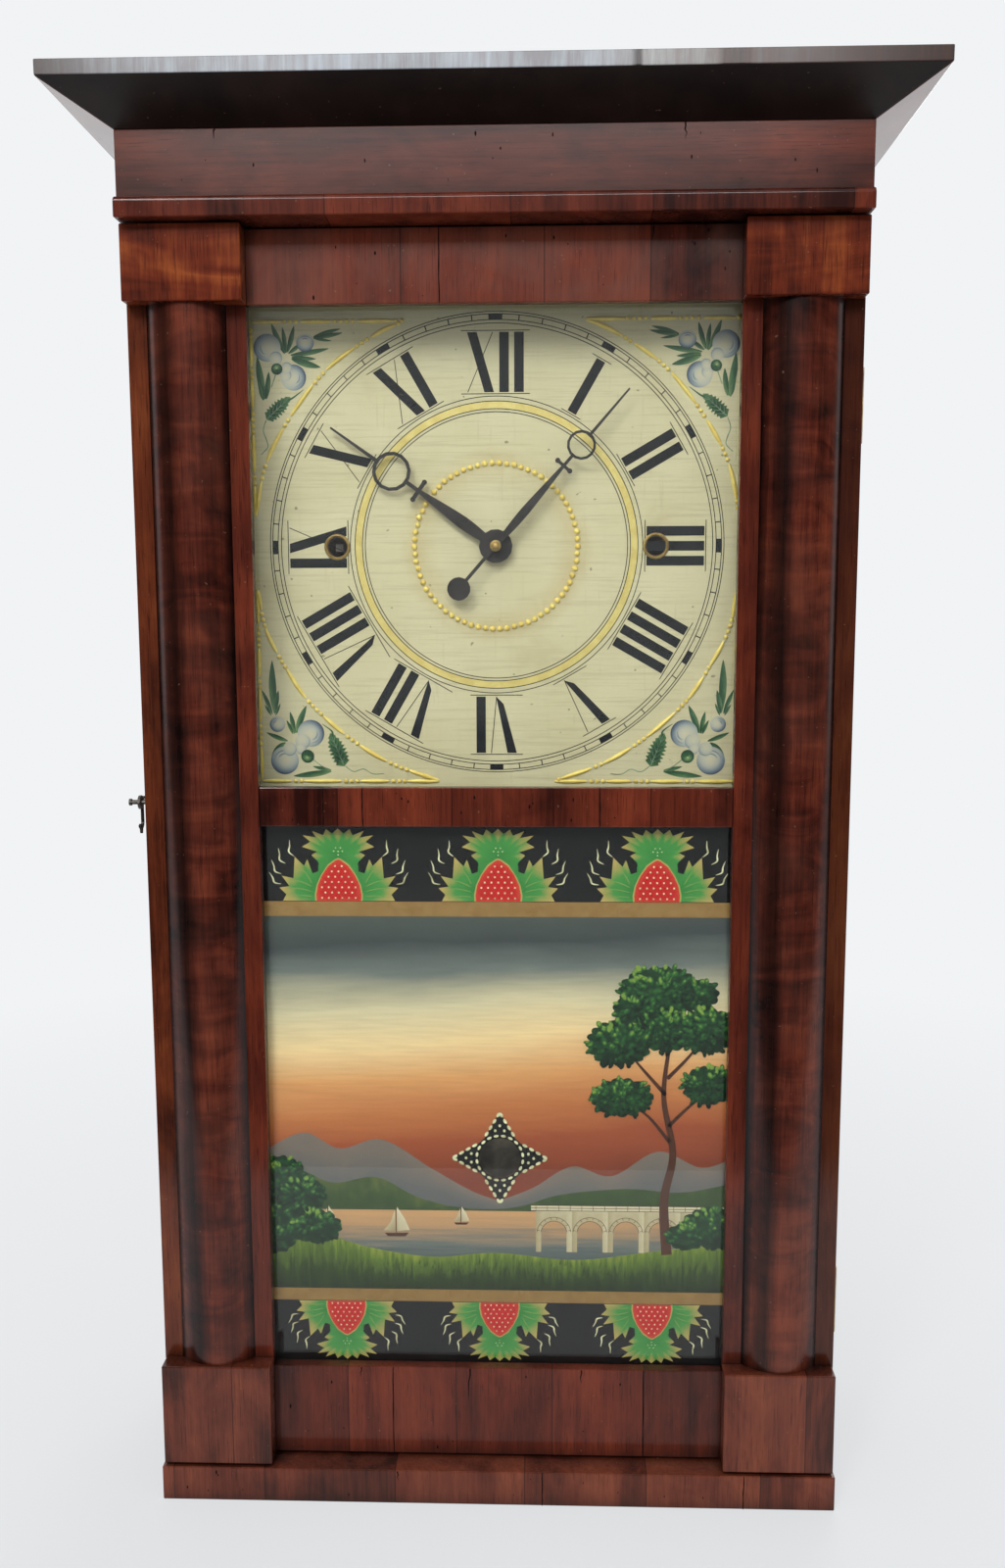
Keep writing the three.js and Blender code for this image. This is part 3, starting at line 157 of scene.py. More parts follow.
class Look(Nodes):
    """A material. Where a scale is given it is per metre, on each axis."""

    def __init__(self, name, **inputs):
        self.material = bpy.data.materials.new(name)
        self.material.use_nodes = True
        super().__init__(self.material.node_tree)
        self.surface = self.nodes["Principled BSDF"]
        self.coords = self.nodes.new("ShaderNodeTexCoord").outputs["Object"]
        self.set(**inputs)

    def set(self, **inputs):
        for key, value in inputs.items():
            self.feed(self.surface.inputs[key.replace("_", " ")], value)

    def plus(self, first, second):
        return self.math("ADD", first, second)

    def less(self, first, second):
        return self.math("SUBTRACT", first, second)

    def times(self, first, second):
        return self.math("MULTIPLY", first, second)

    def sway(self, noise, weight):
        """Noise about nought, times weight."""
        return self.times(self.less(noise, 0.5), weight)

    def stretched(self, scale, shift=(0, 0, 0)):
        """The place on the object in metres, times scale on each axis."""
        return self.add("Mapping", Vector=self.coords, Scale=scale, Location=shift).outputs[0]

    def axis(self, name):
        """The place on one axis, in millimetres."""
        return self.add("SeparateXYZ", Vector=self.stretched((1 / MM,) * 3)).outputs[name]

    def noise(self, scale, detail=3.0, rough=0.5, warp=0.0, shift=(0, 0, 0)):
        """Noise whose features are about 1 / scale metres wide; one scale holds for all axes."""
        scale = scale if isinstance(scale, tuple) else (scale,) * 3
        values = {"Detail": detail, "Roughness": rough, "Distortion": warp}
        node = self.add("TexNoise", Vector=self.stretched(scale, shift), Scale=1.0, **values)
        return node.outputs["Fac"]

    def total(self, *terms):
        """The sum of (value, weight) terms."""
        result = 0.0
        for value, weight in terms:
            result = self.math("MULTIPLY_ADD", value, weight, result)
        return result

    def level(self, value, low, high, bottom=0.0, top=1.0):
        """value from low to high, as bottom to top, held at both ends."""
        ends = {"From_Min": low, "From_Max": high, "To_Min": bottom, "To_Max": top}
        return self.add("MapRange", Value=value, **ends).outputs["Result"]

    def ramp(self, factor, *stops):
        node = self.add("ValToRGB", Fac=factor)
        elements = node.color_ramp.elements
        while len(elements) < len(stops):
            elements.new(1.0)
        for element, (place, colour) in zip(elements, stops):
            element.position = place
            element.color = linear(colour)
        return node.outputs["Color"]

    def blend(self, factor, first, second, mode="MIX"):
        node = self.add("Mix", {"data_type": "RGBA", "blend_type": mode})
        for index, value in zip((0, 6, 7), (factor, first, second)):
            self.feed(node.inputs[index], value)
        return node.outputs[2]

    def hollows(self, reach):
        """Low in the hollows within reach millimetres, and 1 in the open."""
        return self.add("AmbientOcclusion", {"samples": 4}, Distance=reach * MM).outputs["AO"]

    def tone(self):
        """The tone that each corner of a painted shape carries."""
        return self.add("Attribute", {"attribute_name": "tone"}).outputs["Fac"]

    def bump(self, height, strength, distance=0.2):
        node = self.add("Bump", Height=height, Strength=strength, Distance=distance * MM)
        self.set(Normal=node.outputs["Normal"])


def along(grain, across_scale, along_scale):
    """A scale with along_scale on the grain's axis and across_scale on the other two."""
    return tuple(along_scale if axis == grain else across_scale for axis in "xyz")


def veneer(
    name, grain, tones, seed,
    flame=0.0, leaves=0.0, gloss=0.8, blur=0.14, bloom_and_sheen=0.08, cloud=0.5,
    round_at=None, strip_from=None,
):
    """Old varnished mahogany veneer, with its grain along one axis.

    flame is how strongly it waves, cloud how blotchy it is, and haze how strongly a painted sheen,
    pale in patches, and bloomed varnish lie over it. leaves is about the width in mm of the sheets
    that it was laid in.

    round_at is the middle, in mm along x, of a half column, across which painted shade runs in
    upright bands, darkest at both edges and lightest in the middle.
    Beyond strip_from, in mm to either side, the wood is a warmer strip, darkened on the right with
    painted shade.
    """
    look = Look(name, Coat_Weight=gloss, Coat_Roughness=blur, Specular_IOR_Level=0.06)
    shift = (seed * 1.7, seed * 3.1, seed * 2.3)
    dark = tones[0]

    def figure(across_scale, along_scale, *settings, way=grain):
        return look.noise(along(way, across_scale, along_scale), *settings, shift)

    def wood(tones):
        return look.ramp(value, *zip((0.34, 0.5, 0.67), tones))

    streaks = figure(46, 3.0, 5.0, 0.6, 0.5)
    fine = figure(520, 14, 3.0, 0.6, 0.2)
    clouds = figure(26, 14, 4.0, 0.6, 0.7)
    value = look.total((streaks, 0.82 - cloud * 0.76), (fine, 0.2), (clouds, cloud))
    value = look.less(value, 0.01 + cloud * 0.12)
    if flame:
        waves = figure(60, 9, 3.0, 0.5, 1.6, way="x" if grain == "z" else "z")
        value = look.plus(value, look.sway(waves, flame))
    seam = 0.0
    if leaves:
        place = look.axis("Z" if grain == "x" else "X")
        sheets = {"W": look.plus(look.math("DIVIDE", place, leaves), seed * 13.7)}
        sheets.update(Scale=1.0, Randomness=0.7)
        sheet = look.add("TexVoronoi", {"voronoi_dimensions": "1D"}, **sheets)
        pick = look.add("SeparateColor", Color=sheet.outputs["Color"]).outputs["Red"]
        value = look.plus(value, look.sway(pick, 0.22))
        joint = {"voronoi_dimensions": "1D", "feature": "DISTANCE_TO_EDGE"}
        edge = look.add("TexVoronoi", joint, **sheets).outputs["Distance"]
        seam = look.level(edge, 0.15 / leaves, 0.45 / leaves, 0.7, 0.0)
    colour = wood(tones)
    if strip_from:
        reach = look.math("ABSOLUTE", look.axis("X"))
        # Painted shade: the right-hand strip is darker than the left.
        shade = look.level(look.axis("X"), -20.0, 20.0, 0.0, 0.6)
        warm = look.blend(shade, wood(WARM), (40, 14, 8))
        colour = look.blend(look.level(reach, strip_from - 0.5, strip_from + 0.5), colour, warm)
    pores = look.level(figure(1500, 60, 2.0, 0.5, 0.0), 0.58, 0.7)
    colour = look.blend(look.times(pores, 0.6), colour, dark)
    # A painted sheen, pale in patches, with bloomed varnish.
    bloom = look.level(look.noise(13, 4.0, 0.6, 0.6, shift), 0.4, 0.8)
    colour = look.blend(look.times(bloom, bloom_and_sheen), colour, (116, 78, 66))
    colour = look.blend(seam, colour, DIRT_AND_SHADE)
    if round_at is not None:
        # Painted shade in upright bands across the half column, darkest at both edges.
        side = look.plus(look.less(look.axis("X"), round_at), look.sway(streaks, 7.0))
        places = (0.0, 0.1, 0.2, 0.3, 0.45, 0.6, 0.72, 0.86, 1.0)
        shade_greys = (70, 225, 150, 120, 255, 255, 240, 255, 80)
        shade_stops = [(place, (grey, grey * 0.97, grey * 0.94)) for place, grey in zip(places, shade_greys)]
        side = look.level(side, -22.5, 22.5)
        colour = look.blend(1.0, colour, look.ramp(side, *shade_stops), "MULTIPLY")
    # Painted shade, with grime: darker in the hollows near other parts.
    colour = look.blend(look.level(look.hollows(14), 0.3, 0.85, 0.88, 0.0), colour, DIRT_AND_SHADE)
    specks = look.level(look.noise(520, 1.0, 0.4, 0.0, shift), 0.77, 0.8)
    colour = look.blend(look.times(specks, 0.35), colour, (150, 118, 96))
    wear = look.noise(60, 4.0, 0.6, 0.3, shift)
    look.set(Base_Color=colour, Roughness=look.level(wear, 0.3, 0.7, 0.4, 0.62))
    waviness = look.noise(along(grain, 130, 20), 2.0)
    look.bump(look.total((pores, -0.8), (wear, 0.8), (waviness, 0.8)), 0.16)
    return look.material


def fascia_veneer(name):
    """The upright edge of the cornice: a painted reflection lies along it, broken in streaks."""
    look = Look(name, Coat_Weight=0.9, Coat_Roughness=0.22)
    grey, brown, gap = (181, 189, 199), (58, 36, 30), (24, 14, 12)
    # Painted reflection of a pale window along the fascia, broken by a dark joint and a patch of
    # brown wood.
    bloom = look.ramp(
        look.level(look.axis("X"), -236.0, 236.0),
        (0.0, (92, 84, 84)), (0.055, (124, 122, 126)), (0.06, (150, 152, 158)), (0.16, grey),
        (0.6, grey), (0.654, (176, 178, 182)), (0.658, gap), (0.664, gap), (0.668, (186, 186, 186)),
        (0.748, (160, 156, 154)), (0.752, brown), (0.782, brown), (0.786, (116, 104, 102)),
        (0.9, (90, 74, 70)), (1.0, (64, 44, 38)),
    )
    streaks = look.noise((340, 340, 24), 4.0, 0.65, 0.2, (3.0, 1.0, 2.0))
    wood = look.ramp(streaks, (0.35, (44, 24, 18)), (0.65, (92, 54, 40)))
    reflection_share = look.level(look.total((streaks, 0.7), (look.noise(30), 0.5)), 0.42, 0.72, 1.0, 0.45)
    # The painted reflection is strongest on the faces that look forward.
    normal = look.add("NewGeometry").outputs["Normal"]
    facing = look.add("SeparateXYZ", Vector=normal).outputs["Y"]
    reflection_share = look.times(reflection_share, look.level(facing, -0.9, -0.2, 1.0, 0.15))
    look.set(Base_Color=look.blend(reflection_share, wood, bloom), Roughness=0.5)
    look.bump(streaks, 0.2)
    return look.material


def bare_wood(name, grain, tones, seed, ring_scale=40):
    """Unvarnished wood, sawn or turned, browned with age."""
    look = Look(name, Roughness=0.72, Specular_IOR_Level=0.3)
    shift = (seed * 2.9, seed * 1.3, seed * 4.1)
    rings = look.noise(along(grain, ring_scale, ring_scale / 18), 4.0, 0.55, 1.0, shift)
    fibres = look.noise(along(grain, 700, 16), 2.0, 0.6, 0.0, shift)
    value = look.plus(look.times(rings, 0.7), look.times(fibres, 0.3))
    colour = look.ramp(value, *zip((0.32, 0.5, 0.68), tones))
    stains = look.level(look.noise(14, 4.0, 0.6, 0.5, shift), 0.5, 0.8)
    colour = look.blend(look.times(stains, 0.35), colour, tones[0])
    # Painted shade, with grime: darker in the hollows near other parts.
    colour = look.blend(look.level(look.hollows(22), 0.25, 0.8, 0.8, 0.0), colour, (24, 16, 12))
    look.set(Base_Color=colour)
    look.bump(fibres, 0.25)
    return look.material


def metal(name, bright, dull, rough, seed, grain=90, plain=0.0, relief=0.1):
    """Aged metal: plain is how much of it shows no metal any more."""
    look = Look(name, Metallic=1.0 - plain)
    shift = (seed, seed * 2.0, seed * 3.0)
    patina = look.noise(grain, 5.0, 0.62, 0.4, shift)
    fine = look.noise(grain * 9, 2.0, 0.5, 0.0, shift)
    look.set(Base_Color=look.ramp(patina, (0.35, bright), (0.68, dull)))
    look.set(Roughness=look.level(patina, 0.3, 0.7, rough * 0.75, min(rough * 1.35, 1.0)))
    look.bump(look.plus(patina, look.times(fine, 0.4)), relief)
    return look.material


def clear_glass(name):
    """Old window glass: faintly green and uneven. Lamps shine through it."""
    look = Look(name, Roughness=0.0, IOR=1.45, Transmission_Weight=1.0, Specular_IOR_Level=0.3)
    look.set(Base_Color=(0.95, 0.97, 0.94, 1.0))
    look.bump(look.noise((14, 14, 6), 1.0, 0.4, 0.3), 0.01, 0.2)
    clear = look.add("BsdfTransparent", Color=(0.93, 0.95, 0.93, 1.0))
    shadow = look.add("LightPath").outputs["Is Shadow Ray"]
    look.mix_shaders(shadow, look.surface, clear, look.nodes["Material Output"])
    return look.material


def dial_paint(name):
    """Cream oil paint on wood: cracks, a brown bloom, fly specks, a stain under the beads."""
    look = Look(name, Roughness=0.42, Specular_IOR_Level=0.2, Coat_Weight=0.05, Coat_Roughness=0.3)
    bloom = look.noise(17, 5.0, 0.6, 0.5)
    cream = ((0.3, (214, 206, 172)), (0.6, (206, 197, 160)), (0.8, (192, 180, 140)))
    crack_colour = (150, 138, 104)
    cracks = look.level(look.noise((20, 90, 700), 3.0, 0.7, 0.2), 0.5, 0.68)
    colour = look.blend(look.times(cracks, 0.26), look.ramp(bloom, *cream), crack_colour)
    downs = look.level(look.noise((560, 90, 30), 3.0, 0.7, 0.2), 0.6, 0.72)
    colour = look.blend(look.times(downs, 0.16), colour, crack_colour)
    specks = look.level(look.noise(240, 1.0, 0.4), 0.77, 0.8)
    colour = look.blend(look.times(specks, 0.6), colour, (92, 78, 54))
    side = look.less(look.axis("X"), DIAL_X)
    rise = look.less(look.axis("Z"), DIAL_Z)
    squares = look.total((look.times(side, side), 1.0), (look.times(rise, rise), 1.0))
    away = look.math("SQRT", squares)
    stain = look.times(look.level(away, 34.0, 46.0), look.level(away, 50.0, 58.0, 1.0, 0.0))
    blotch = look.level(look.noise(60, 4.0, 0.6, 0.4), 0.35, 0.7, 0.1, 0.42)
    look.set(Base_Color=look.blend(look.times(stain, blotch), colour, (176, 146, 84)))
    look.bump(look.plus(cracks, bloom), 0.12, 0.1)
    return look.material


def flat_paint(name, colour, rough=0.45, worn=0.0, under=(200, 195, 165)):
    """One colour of brushed paint, a little uneven, worn through to under in small flecks."""
    look = Look(name, Roughness=rough, Specular_IOR_Level=0.12)
    shade = look.noise((70, 70, 240), 4.0, 0.6, 0.3)
    dark = [channel * 0.72 for channel in colour]
    light = [min(channel * 1.2 + 6, 255) for channel in colour]
    mixed = look.ramp(shade, (0.3, dark), (0.7, light))
    if worn:
        flecks = look.level(look.noise((210, 210, 420), 3.0, 0.7, 0.2), 0.68, 0.74)
        mixed = look.blend(look.times(flecks, worn), mixed, under)
    look.set(Base_Color=mixed)
    look.bump(shade, 0.04, 0.05)
    return look.material


def toned_paint(name, stops, grain=150, mottle=0.12):
    """Brushed paint whose colour follows the tone of each corner, through the colours in stops."""
    look = Look(name, Roughness=0.45, Specular_IOR_Level=0.12)
    strokes = look.noise(grain, 4.0, 0.6, 0.4)
    look.set(Base_Color=look.ramp(look.plus(look.tone(), look.sway(strokes, mottle * 2)), *stops))
    look.bump(strokes, 0.04, 0.05)
    return look.material


def leaf_gold(name, base, worn, rough, seed):
    """Gold leaf on a gilding base, rubbed thin in places, with painted shade at its foot."""
    look = Look(name, Metallic=0.1)
    rub = look.noise(130, 5.0, 0.65, 0.4, (seed,) * 3)
    colour = look.ramp(rub, (0.35, base), (0.7, worn))
    # Painted shade: brown where the gold comes within about a millimetre of other surfaces.
    foot_shade = look.level(look.hollows(1.2), 0.35, 0.8, 0.6, 0.0)
    look.set(Base_Color=look.blend(foot_shade, colour, (150, 104, 34)))
    look.set(Roughness=look.level(rub, 0.3, 0.7, rough * 0.8, rough * 1.4))
    look.bump(rub, 0.2, 0.15)
    return look.material


def foliage(name, stops, seed):
    """Leaves dabbed on with a full brush: overlapping round touches from dark to light."""
    look = Look(name, Roughness=0.5, Specular_IOR_Level=0.12)
    shift = (seed, 0, seed)
    warp = look.noise(90, 2.0, 0.5, 0.0, shift)
    warp = look.add("CombineXYZ", X=warp, Z=warp).outputs[0]
    shaken = look.add("VectorMath", {"operation": "SCALE"}, Vector=warp, Scale=1.6).outputs[0]
    moved = look.add("VectorMath", {"operation": "ADD"})
    look.feed(moved.inputs[0], look.stretched((230, 1, 260), shift))
    look.feed(moved.inputs[1], shaken)
    cells = look.add("TexVoronoi", {"feature": "F1"}, Scale=1.0, Vector=moved.outputs[0])
    distance = cells.outputs["Distance"]
    value = look.plus(look.tone(), look.level(distance, 0.0, 0.75, 0.32, -0.18))
    fine = look.noise(500, 3.0, 0.6, 0.3, (seed, 0, 0))
    look.set(Base_Color=look.ramp(look.plus(value, look.sway(fine, 0.5)), *stops))
    look.bump(distance, 0.1, 0.1)
    return look.material


def sky_paint(name):
    """A dusk sky: slate cloud above, cream and orange below, laid on in level strokes."""
    look = Look(name, Roughness=0.5, Specular_IOR_Level=0.12)
    drift = look.noise((5, 5, 26), 4.0, 0.55, 0.5)
    height = look.level(look.axis("Z"), 190.0, 361.0)
    value = look.less(height, look.times(look.axis("X"), 0.0003))
    colour = look.ramp(
        look.plus(value, look.sway(drift, 0.16)),
        (0.05, (134, 62, 40)), (0.2, (166, 84, 52)), (0.3, (198, 122, 72)), (0.42, (226, 164, 106)),
        (0.56, (246, 216, 164)), (0.69, (220, 208, 172)), (0.82, (116, 124, 120)),
        (0.92, (66, 74, 76)), (1.0, (80, 88, 84)),
    )
    strokes = look.noise((30, 30, 520), 3.0, 0.6, 0.3)
    look.set(Base_Color=look.blend(look.level(strokes, 0.4, 0.8, 0.0, 0.16), colour, (60, 54, 50)))
    look.bump(strokes, 0.03, 0.05)
    return look.material


def cord_fibre(name):
    """Twisted linen: strands that wind round the cord."""
    look = Look(name, Roughness=0.85, Sheen_Weight=0.3, Sheen_Roughness=0.5)
    lay = {"Vector": look.stretched((260, 260, 520)), "Distortion": 1.5, "Detail": 2.0}
    turn = look.add("TexWave", {"bands_direction": "DIAGONAL"}, Scale=1.0, **lay).outputs["Fac"]
    value = look.times(look.plus(turn, look.noise(900, 3.0, 0.6)), 0.5)
    look.set(Base_Color=look.ramp(value, (0.25, (110, 92, 62)), (0.75, (186, 168, 128))))
    look.bump(turn, 0.5, 0.3)
    return look.material


# ---------------------------------------------------------------------------------------------
# Tools for shapes
# ---------------------------------------------------------------------------------------------

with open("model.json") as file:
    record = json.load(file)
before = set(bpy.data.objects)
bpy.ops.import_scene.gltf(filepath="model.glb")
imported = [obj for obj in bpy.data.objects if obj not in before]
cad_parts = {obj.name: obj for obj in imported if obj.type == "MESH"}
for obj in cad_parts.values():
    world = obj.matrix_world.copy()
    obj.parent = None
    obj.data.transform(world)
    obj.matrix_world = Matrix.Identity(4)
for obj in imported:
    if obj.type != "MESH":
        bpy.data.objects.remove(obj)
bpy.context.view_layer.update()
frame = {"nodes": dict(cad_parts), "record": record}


def add_object(name, data):
    made = bpy.data.objects.new(name, data)
    bpy.context.scene.collection.objects.link(made)
    return made


def place_mesh(name, mesh, body, material, stands_for=()):
    """Puts a mesh into the scene as a piece. Without a body it isn't yet riding."""
    mesh.materials.clear()
    mesh.materials.append(material)
    made = add_object(name, mesh)
    if body:
        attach(made, body)
    if stands_for:
        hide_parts(*stands_for)
    return made


def mesh_piece(name, body, slot, material, points, faces, smooth=False, stands_for=()):
    """A piece from points in millimetres."""
    mesh = bpy.data.meshes.new(name)
    mesh.from_pydata([tuple(value * MM for value in point) for point in points], [], faces)
    for polygon in mesh.polygons:
        polygon.use_smooth = smooth
    return place_mesh(name, mesh, body, material, stands_for)


def softened(node, material, radius=0.6):
    """Stands for a CAD solid with its edges eased by radius millimetres."""
    mesh = frame["nodes"][node].data.copy()
    work = bmesh.new()
    work.from_mesh(mesh)
    bmesh.ops.remove_doubles(work, verts=work.verts, dist=1e-6)
    flat, corner = math.radians(1.0), math.radians(35.0)
    bmesh.ops.dissolve_limit(work, angle_limit=flat, verts=work.verts, edges=work.edges)
    pairs = [edge for edge in work.edges if len(edge.link_faces) == 2]
    sharp = [edge for edge in pairs if edge.calc_face_angle() > corner]
    shape = {"segments": 2, "profile": 0.5, "affect": "EDGES", "clamp_overlap": True}
    bmesh.ops.bevel(work, geom=sharp, offset=radius * MM, **shape)
    work.to_mesh(mesh)
    work.free()
    bodies = frame["record"]["behaviour"]["bodies"]
    body = next(body for body, members in bodies.items() if node in members)
    return place_mesh(node + ".look", mesh, body, material, (node,))


def repaint(material, *nodes):
    """Gives CAD solids whose shape is right a material of this file."""
    for node in nodes:
        for slot in frame["nodes"][node].material_slots:
            slot.material = material


def box_mm(node):
    low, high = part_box(node)
    return low / MM, high / MM


def band(faces, rows, across, first=0, closed=False, flip=False):
    """Adds the faces between rows of points that follow each other."""
    for row in range(rows):
        for place in range(across if closed else across - 1):
            a = first + row * across + place
            b = first + row * across + (place + 1) % across
            corners = (a, b, b + across, a + across)
            faces.append(corners[::-1] if flip else corners)


class Paint:
    """Flat shapes that face the front, gathered and then made into one piece.

    A tone is one number, or one for each corner.
    """

    def __init__(self):
        self.points = []
        self.tones = []
        self.faces = []

    def put(self, outline, tone, lift):
        """Adds corners and gives the number of the first."""
        first = len(self.points)
        self.points += [(x, -lift, z) for x, z in outline]
        self.tones += tone if isinstance(tone, (list, tuple)) else [tone] * len(outline)
        return first

    def shape(self, outline, tone=0.5, lift=0.0):
        """One face. outline runs anticlockwise as seen from the front."""
        first = self.put(outline, tone, lift)
        self.faces.append(tuple(range(first, first + len(outline))))

    def fan(self, centre, outline, inner, outer, lift=0.0):
        """Faces from a centre to an outline, with a tone at each."""
        hub = self.put([centre], inner, lift)
        first = self.put(outline, outer, lift)
        count = len(outline)
        self.faces += [(hub, first + index, first + (index + 1) % count) for index in range(count)]

    def strip(self, one_side, other_side, tone_one=0.5, tone_other=0.5, lift=0.0):
        """Faces between two lines of as many points; one_side lies to the right along its way."""
        pairs = list(zip(one_side, other_side))
        for (a, d), (b, c) in zip(pairs, pairs[1:]):
            self.shape([a, b, c, d], [tone_one, tone_one, tone_other, tone_other], lift)

    def line(self, way, width, tone=0.5, lift=0.0):
        """A brush line along a way; width is one or one a point."""
        widths = width if isinstance(width, (list, tuple)) else [width] * len(way)
        right, left = [], []
        for (x, z), run, full in zip(way, runs(way), widths):
            half = full / 2
            right.append((x + run.y * half, z - run.x * half))
            left.append((x - run.y * half, z + run.x * half))
        self.strip(right, left, tone, tone, lift)

    def ring(self, inner, outer, centre=CENTRE, start=0.0, end=360.0, steps=180):
        self.strip(arc(centre, outer, start, end, steps), arc(centre, inner, start, end, steps))

    def make(self, name, material, depth, body=GLASS[0], slot=GLASS[1]):
        points = [(x, depth + y, z) for x, y, z in self.points]
        made = mesh_piece(name, body, slot, material, points, self.faces)
        attribute = made.data.attributes.new("tone", "FLOAT", "POINT")
        attribute.data.foreach_set("value", self.tones)
        return made


def runs(way):
    """The direction of a way at each of its points."""
    last = len(way) - 1
    return [
        (Vector(way[min(index + 1, last)]) - Vector(way[max(index - 1, 0)])).normalized()
        for index in range(last + 1)
    ]


def taper(start, fall, count):
    """Widths that fall evenly along a way."""
    return [start - fall * index / (count - 1) for index in range(count)]


def heading(degrees):
    """Unit vectors at an angle clockwise from upright, and to the right of it."""
    angle = math.radians(degrees)
    return Vector((math.sin(angle), math.cos(angle))), Vector((math.cos(angle), -math.sin(angle)))


def lean(run):
    """The angle of a direction, clockwise from upright."""
    return math.degrees(math.atan2(run.x, run.y))


def polar(centre, radius, degrees):
    """The point at an angle clockwise from twelve."""
    angle = math.radians(degrees)
    return centre[0] + radius * math.sin(angle), centre[1] + radius * math.cos(angle)


def arc(centre, radius, start, end, steps):
    """Points from one angle to another. Rising angles run anticlockwise, as a face's corners do."""
    turn = [start + (end - start) * index / steps for index in range(steps + 1)]
    return [polar(centre, radius, -degrees) for degrees in turn]


def turns(count):
    """Angles all the way round."""
    return [2 * math.pi * index / count for index in range(count)]


def ellipse(centre, long_half, short_half, degrees, steps=12):
    """An oval whose long axis lies at degrees clockwise from upright."""
    up, side = heading(degrees)
    middle = Vector(centre)
    return [
        tuple(middle + side * (short_half * math.cos(turn)) + up * (long_half * math.sin(turn)))
        for turn in turns(steps)
    ]


def curve(points, steps=8):
    """A smooth way through points."""
    way = []
    places = [Vector(point) for point in (points[0], *points, points[-1])]
    for before, start, end, after in zip(places, places[1:], places[2:], places[3:]):
        for step in range(steps):
            t = step / steps
            a = 2 * start
            b = end - before
            c = 2 * before - 5 * start + 4 * end - after
            d = 3 * start - before - 3 * end + after
            way.append(tuple((a + b * t + c * t * t + d * t * t * t) / 2))
    return [*way, tuple(points[-1])]


def rectangle(x0, x1, z0, z1):
    return [(x0, z0), (x1, z0), (x1, z1), (x0, z1)]


def blade_leaf(base, degrees, length, width, bend=0.0):
    """A pointed leaf from its foot; bend moves its tip sideways."""
    steps = 8
    up, side = heading(degrees)
    right, left = [], []
    for index in range(steps + 1):
        t = index / steps
        middle = Vector(base) + up * (length * t) + side * (bend * t * t)
        half = width / 2 * math.sin(math.pi * min(t * 0.92 + 0.06, 1.0)) ** 0.8
        right.append(tuple(middle + side * half))
        left.append(tuple(middle - side * half))
    return right + left[::-1]


def saw_leaf(base, degrees, length, width):
    """A broad leaf with a toothed edge, as an outline."""
    teeth = 8
    foot = Vector(base)
    up, side = heading(degrees)
    right, left = [tuple(base)], []
    for index in range(1, teeth + 1):
        t = index / (teeth + 1)
        half = width / 2 * math.sin(math.pi * (0.15 + 0.85 * t)) ** 0.7
        tip = foot + up * (length * t)
        notch = tip + up * (length * 0.35 / teeth)
        right += [tuple(tip + side * half), tuple(notch + side * half * 0.56)]
        left += [tuple(tip - side * half), tuple(notch - side * half * 0.56)]
    return [*right, tuple(foot + up * length), *left[::-1]]


# ---------------------------------------------------------------------------------------------
# The case and the door
# ---------------------------------------------------------------------------------------------


def build_case():
    """The case's boards outside and in."""
    softened("case_bottom", veneer("veneer_base", "z", BROWN, 1.0, leaves=70.0))
    side = veneer("veneer_side", "z", DEEP, 2.0, flame=0.1, cloud=0.24)
    for name in ("case_side_left", "case_side_right"):
        softened(name, side)
    # The frieze carries a painted sheen.
    frieze = veneer("veneer_frieze", "x", RED, 3.0, blur=0.24, bloom_and_sheen=0.2)
    softened("frieze_board", frieze)
    strip = veneer("veneer_strip", "z", RED, 4.0, leaves=100.0, bloom_and_sheen=0.1)
    softened("architrave_strip", strip)
    build_cornice()
    pine = bare_wood("pine_boards", "z", PINE, 1.0, 26)
    build_back(pine)
    softened("case_top", bare_wood("pine_top", "x", PINE, 2.0, 26), 0.4)
    for name in ("chute_board_left", "chute_board_right"):
        softened(name, pine, 0.4)


def build_cornice():
    """Darkened below with painted shade, with a painted reflection on its upright edge, and dull
    wood on the faces that aren't shown.
    """
    under = veneer("veneer_cornice", "z", PAINTED_SHADE_WOOD, 5.0, gloss=0.5, blur=0.3)
    # The returns carry a strong painted reflection of the pale surroundings.
    flank = veneer("veneer_return", "z", BROWN, 17.0, gloss=1.0, blur=0.05, bloom_and_sheen=0.6)
    fascia = fascia_veneer("veneer_fascia")
    inner = bare_wood("cornice_inside", "x", DUSTY, 21.0, 30)
    fascia_foot = 816.8
    for name, look, inwards in (
        ("cornice_front", under, Vector((0, 1, 0))),
        ("cornice_left", flank, Vector((1, 0, 0))),
        ("cornice_right", flank, Vector((-1, 0, 0))),
    ):
        made = softened(name, look, 0.5)
        made.data.materials.append(fascia)
        made.data.materials.append(inner)
        for polygon in made.data.polygons:
            if polygon.normal.z > 0.5 or polygon.normal.dot(inwards) > 0.5:
                polygon.material_index = 2
            elif polygon.center.z > fascia_foot * MM and abs(polygon.normal.z) < 0.5:
                polygon.material_index = 1


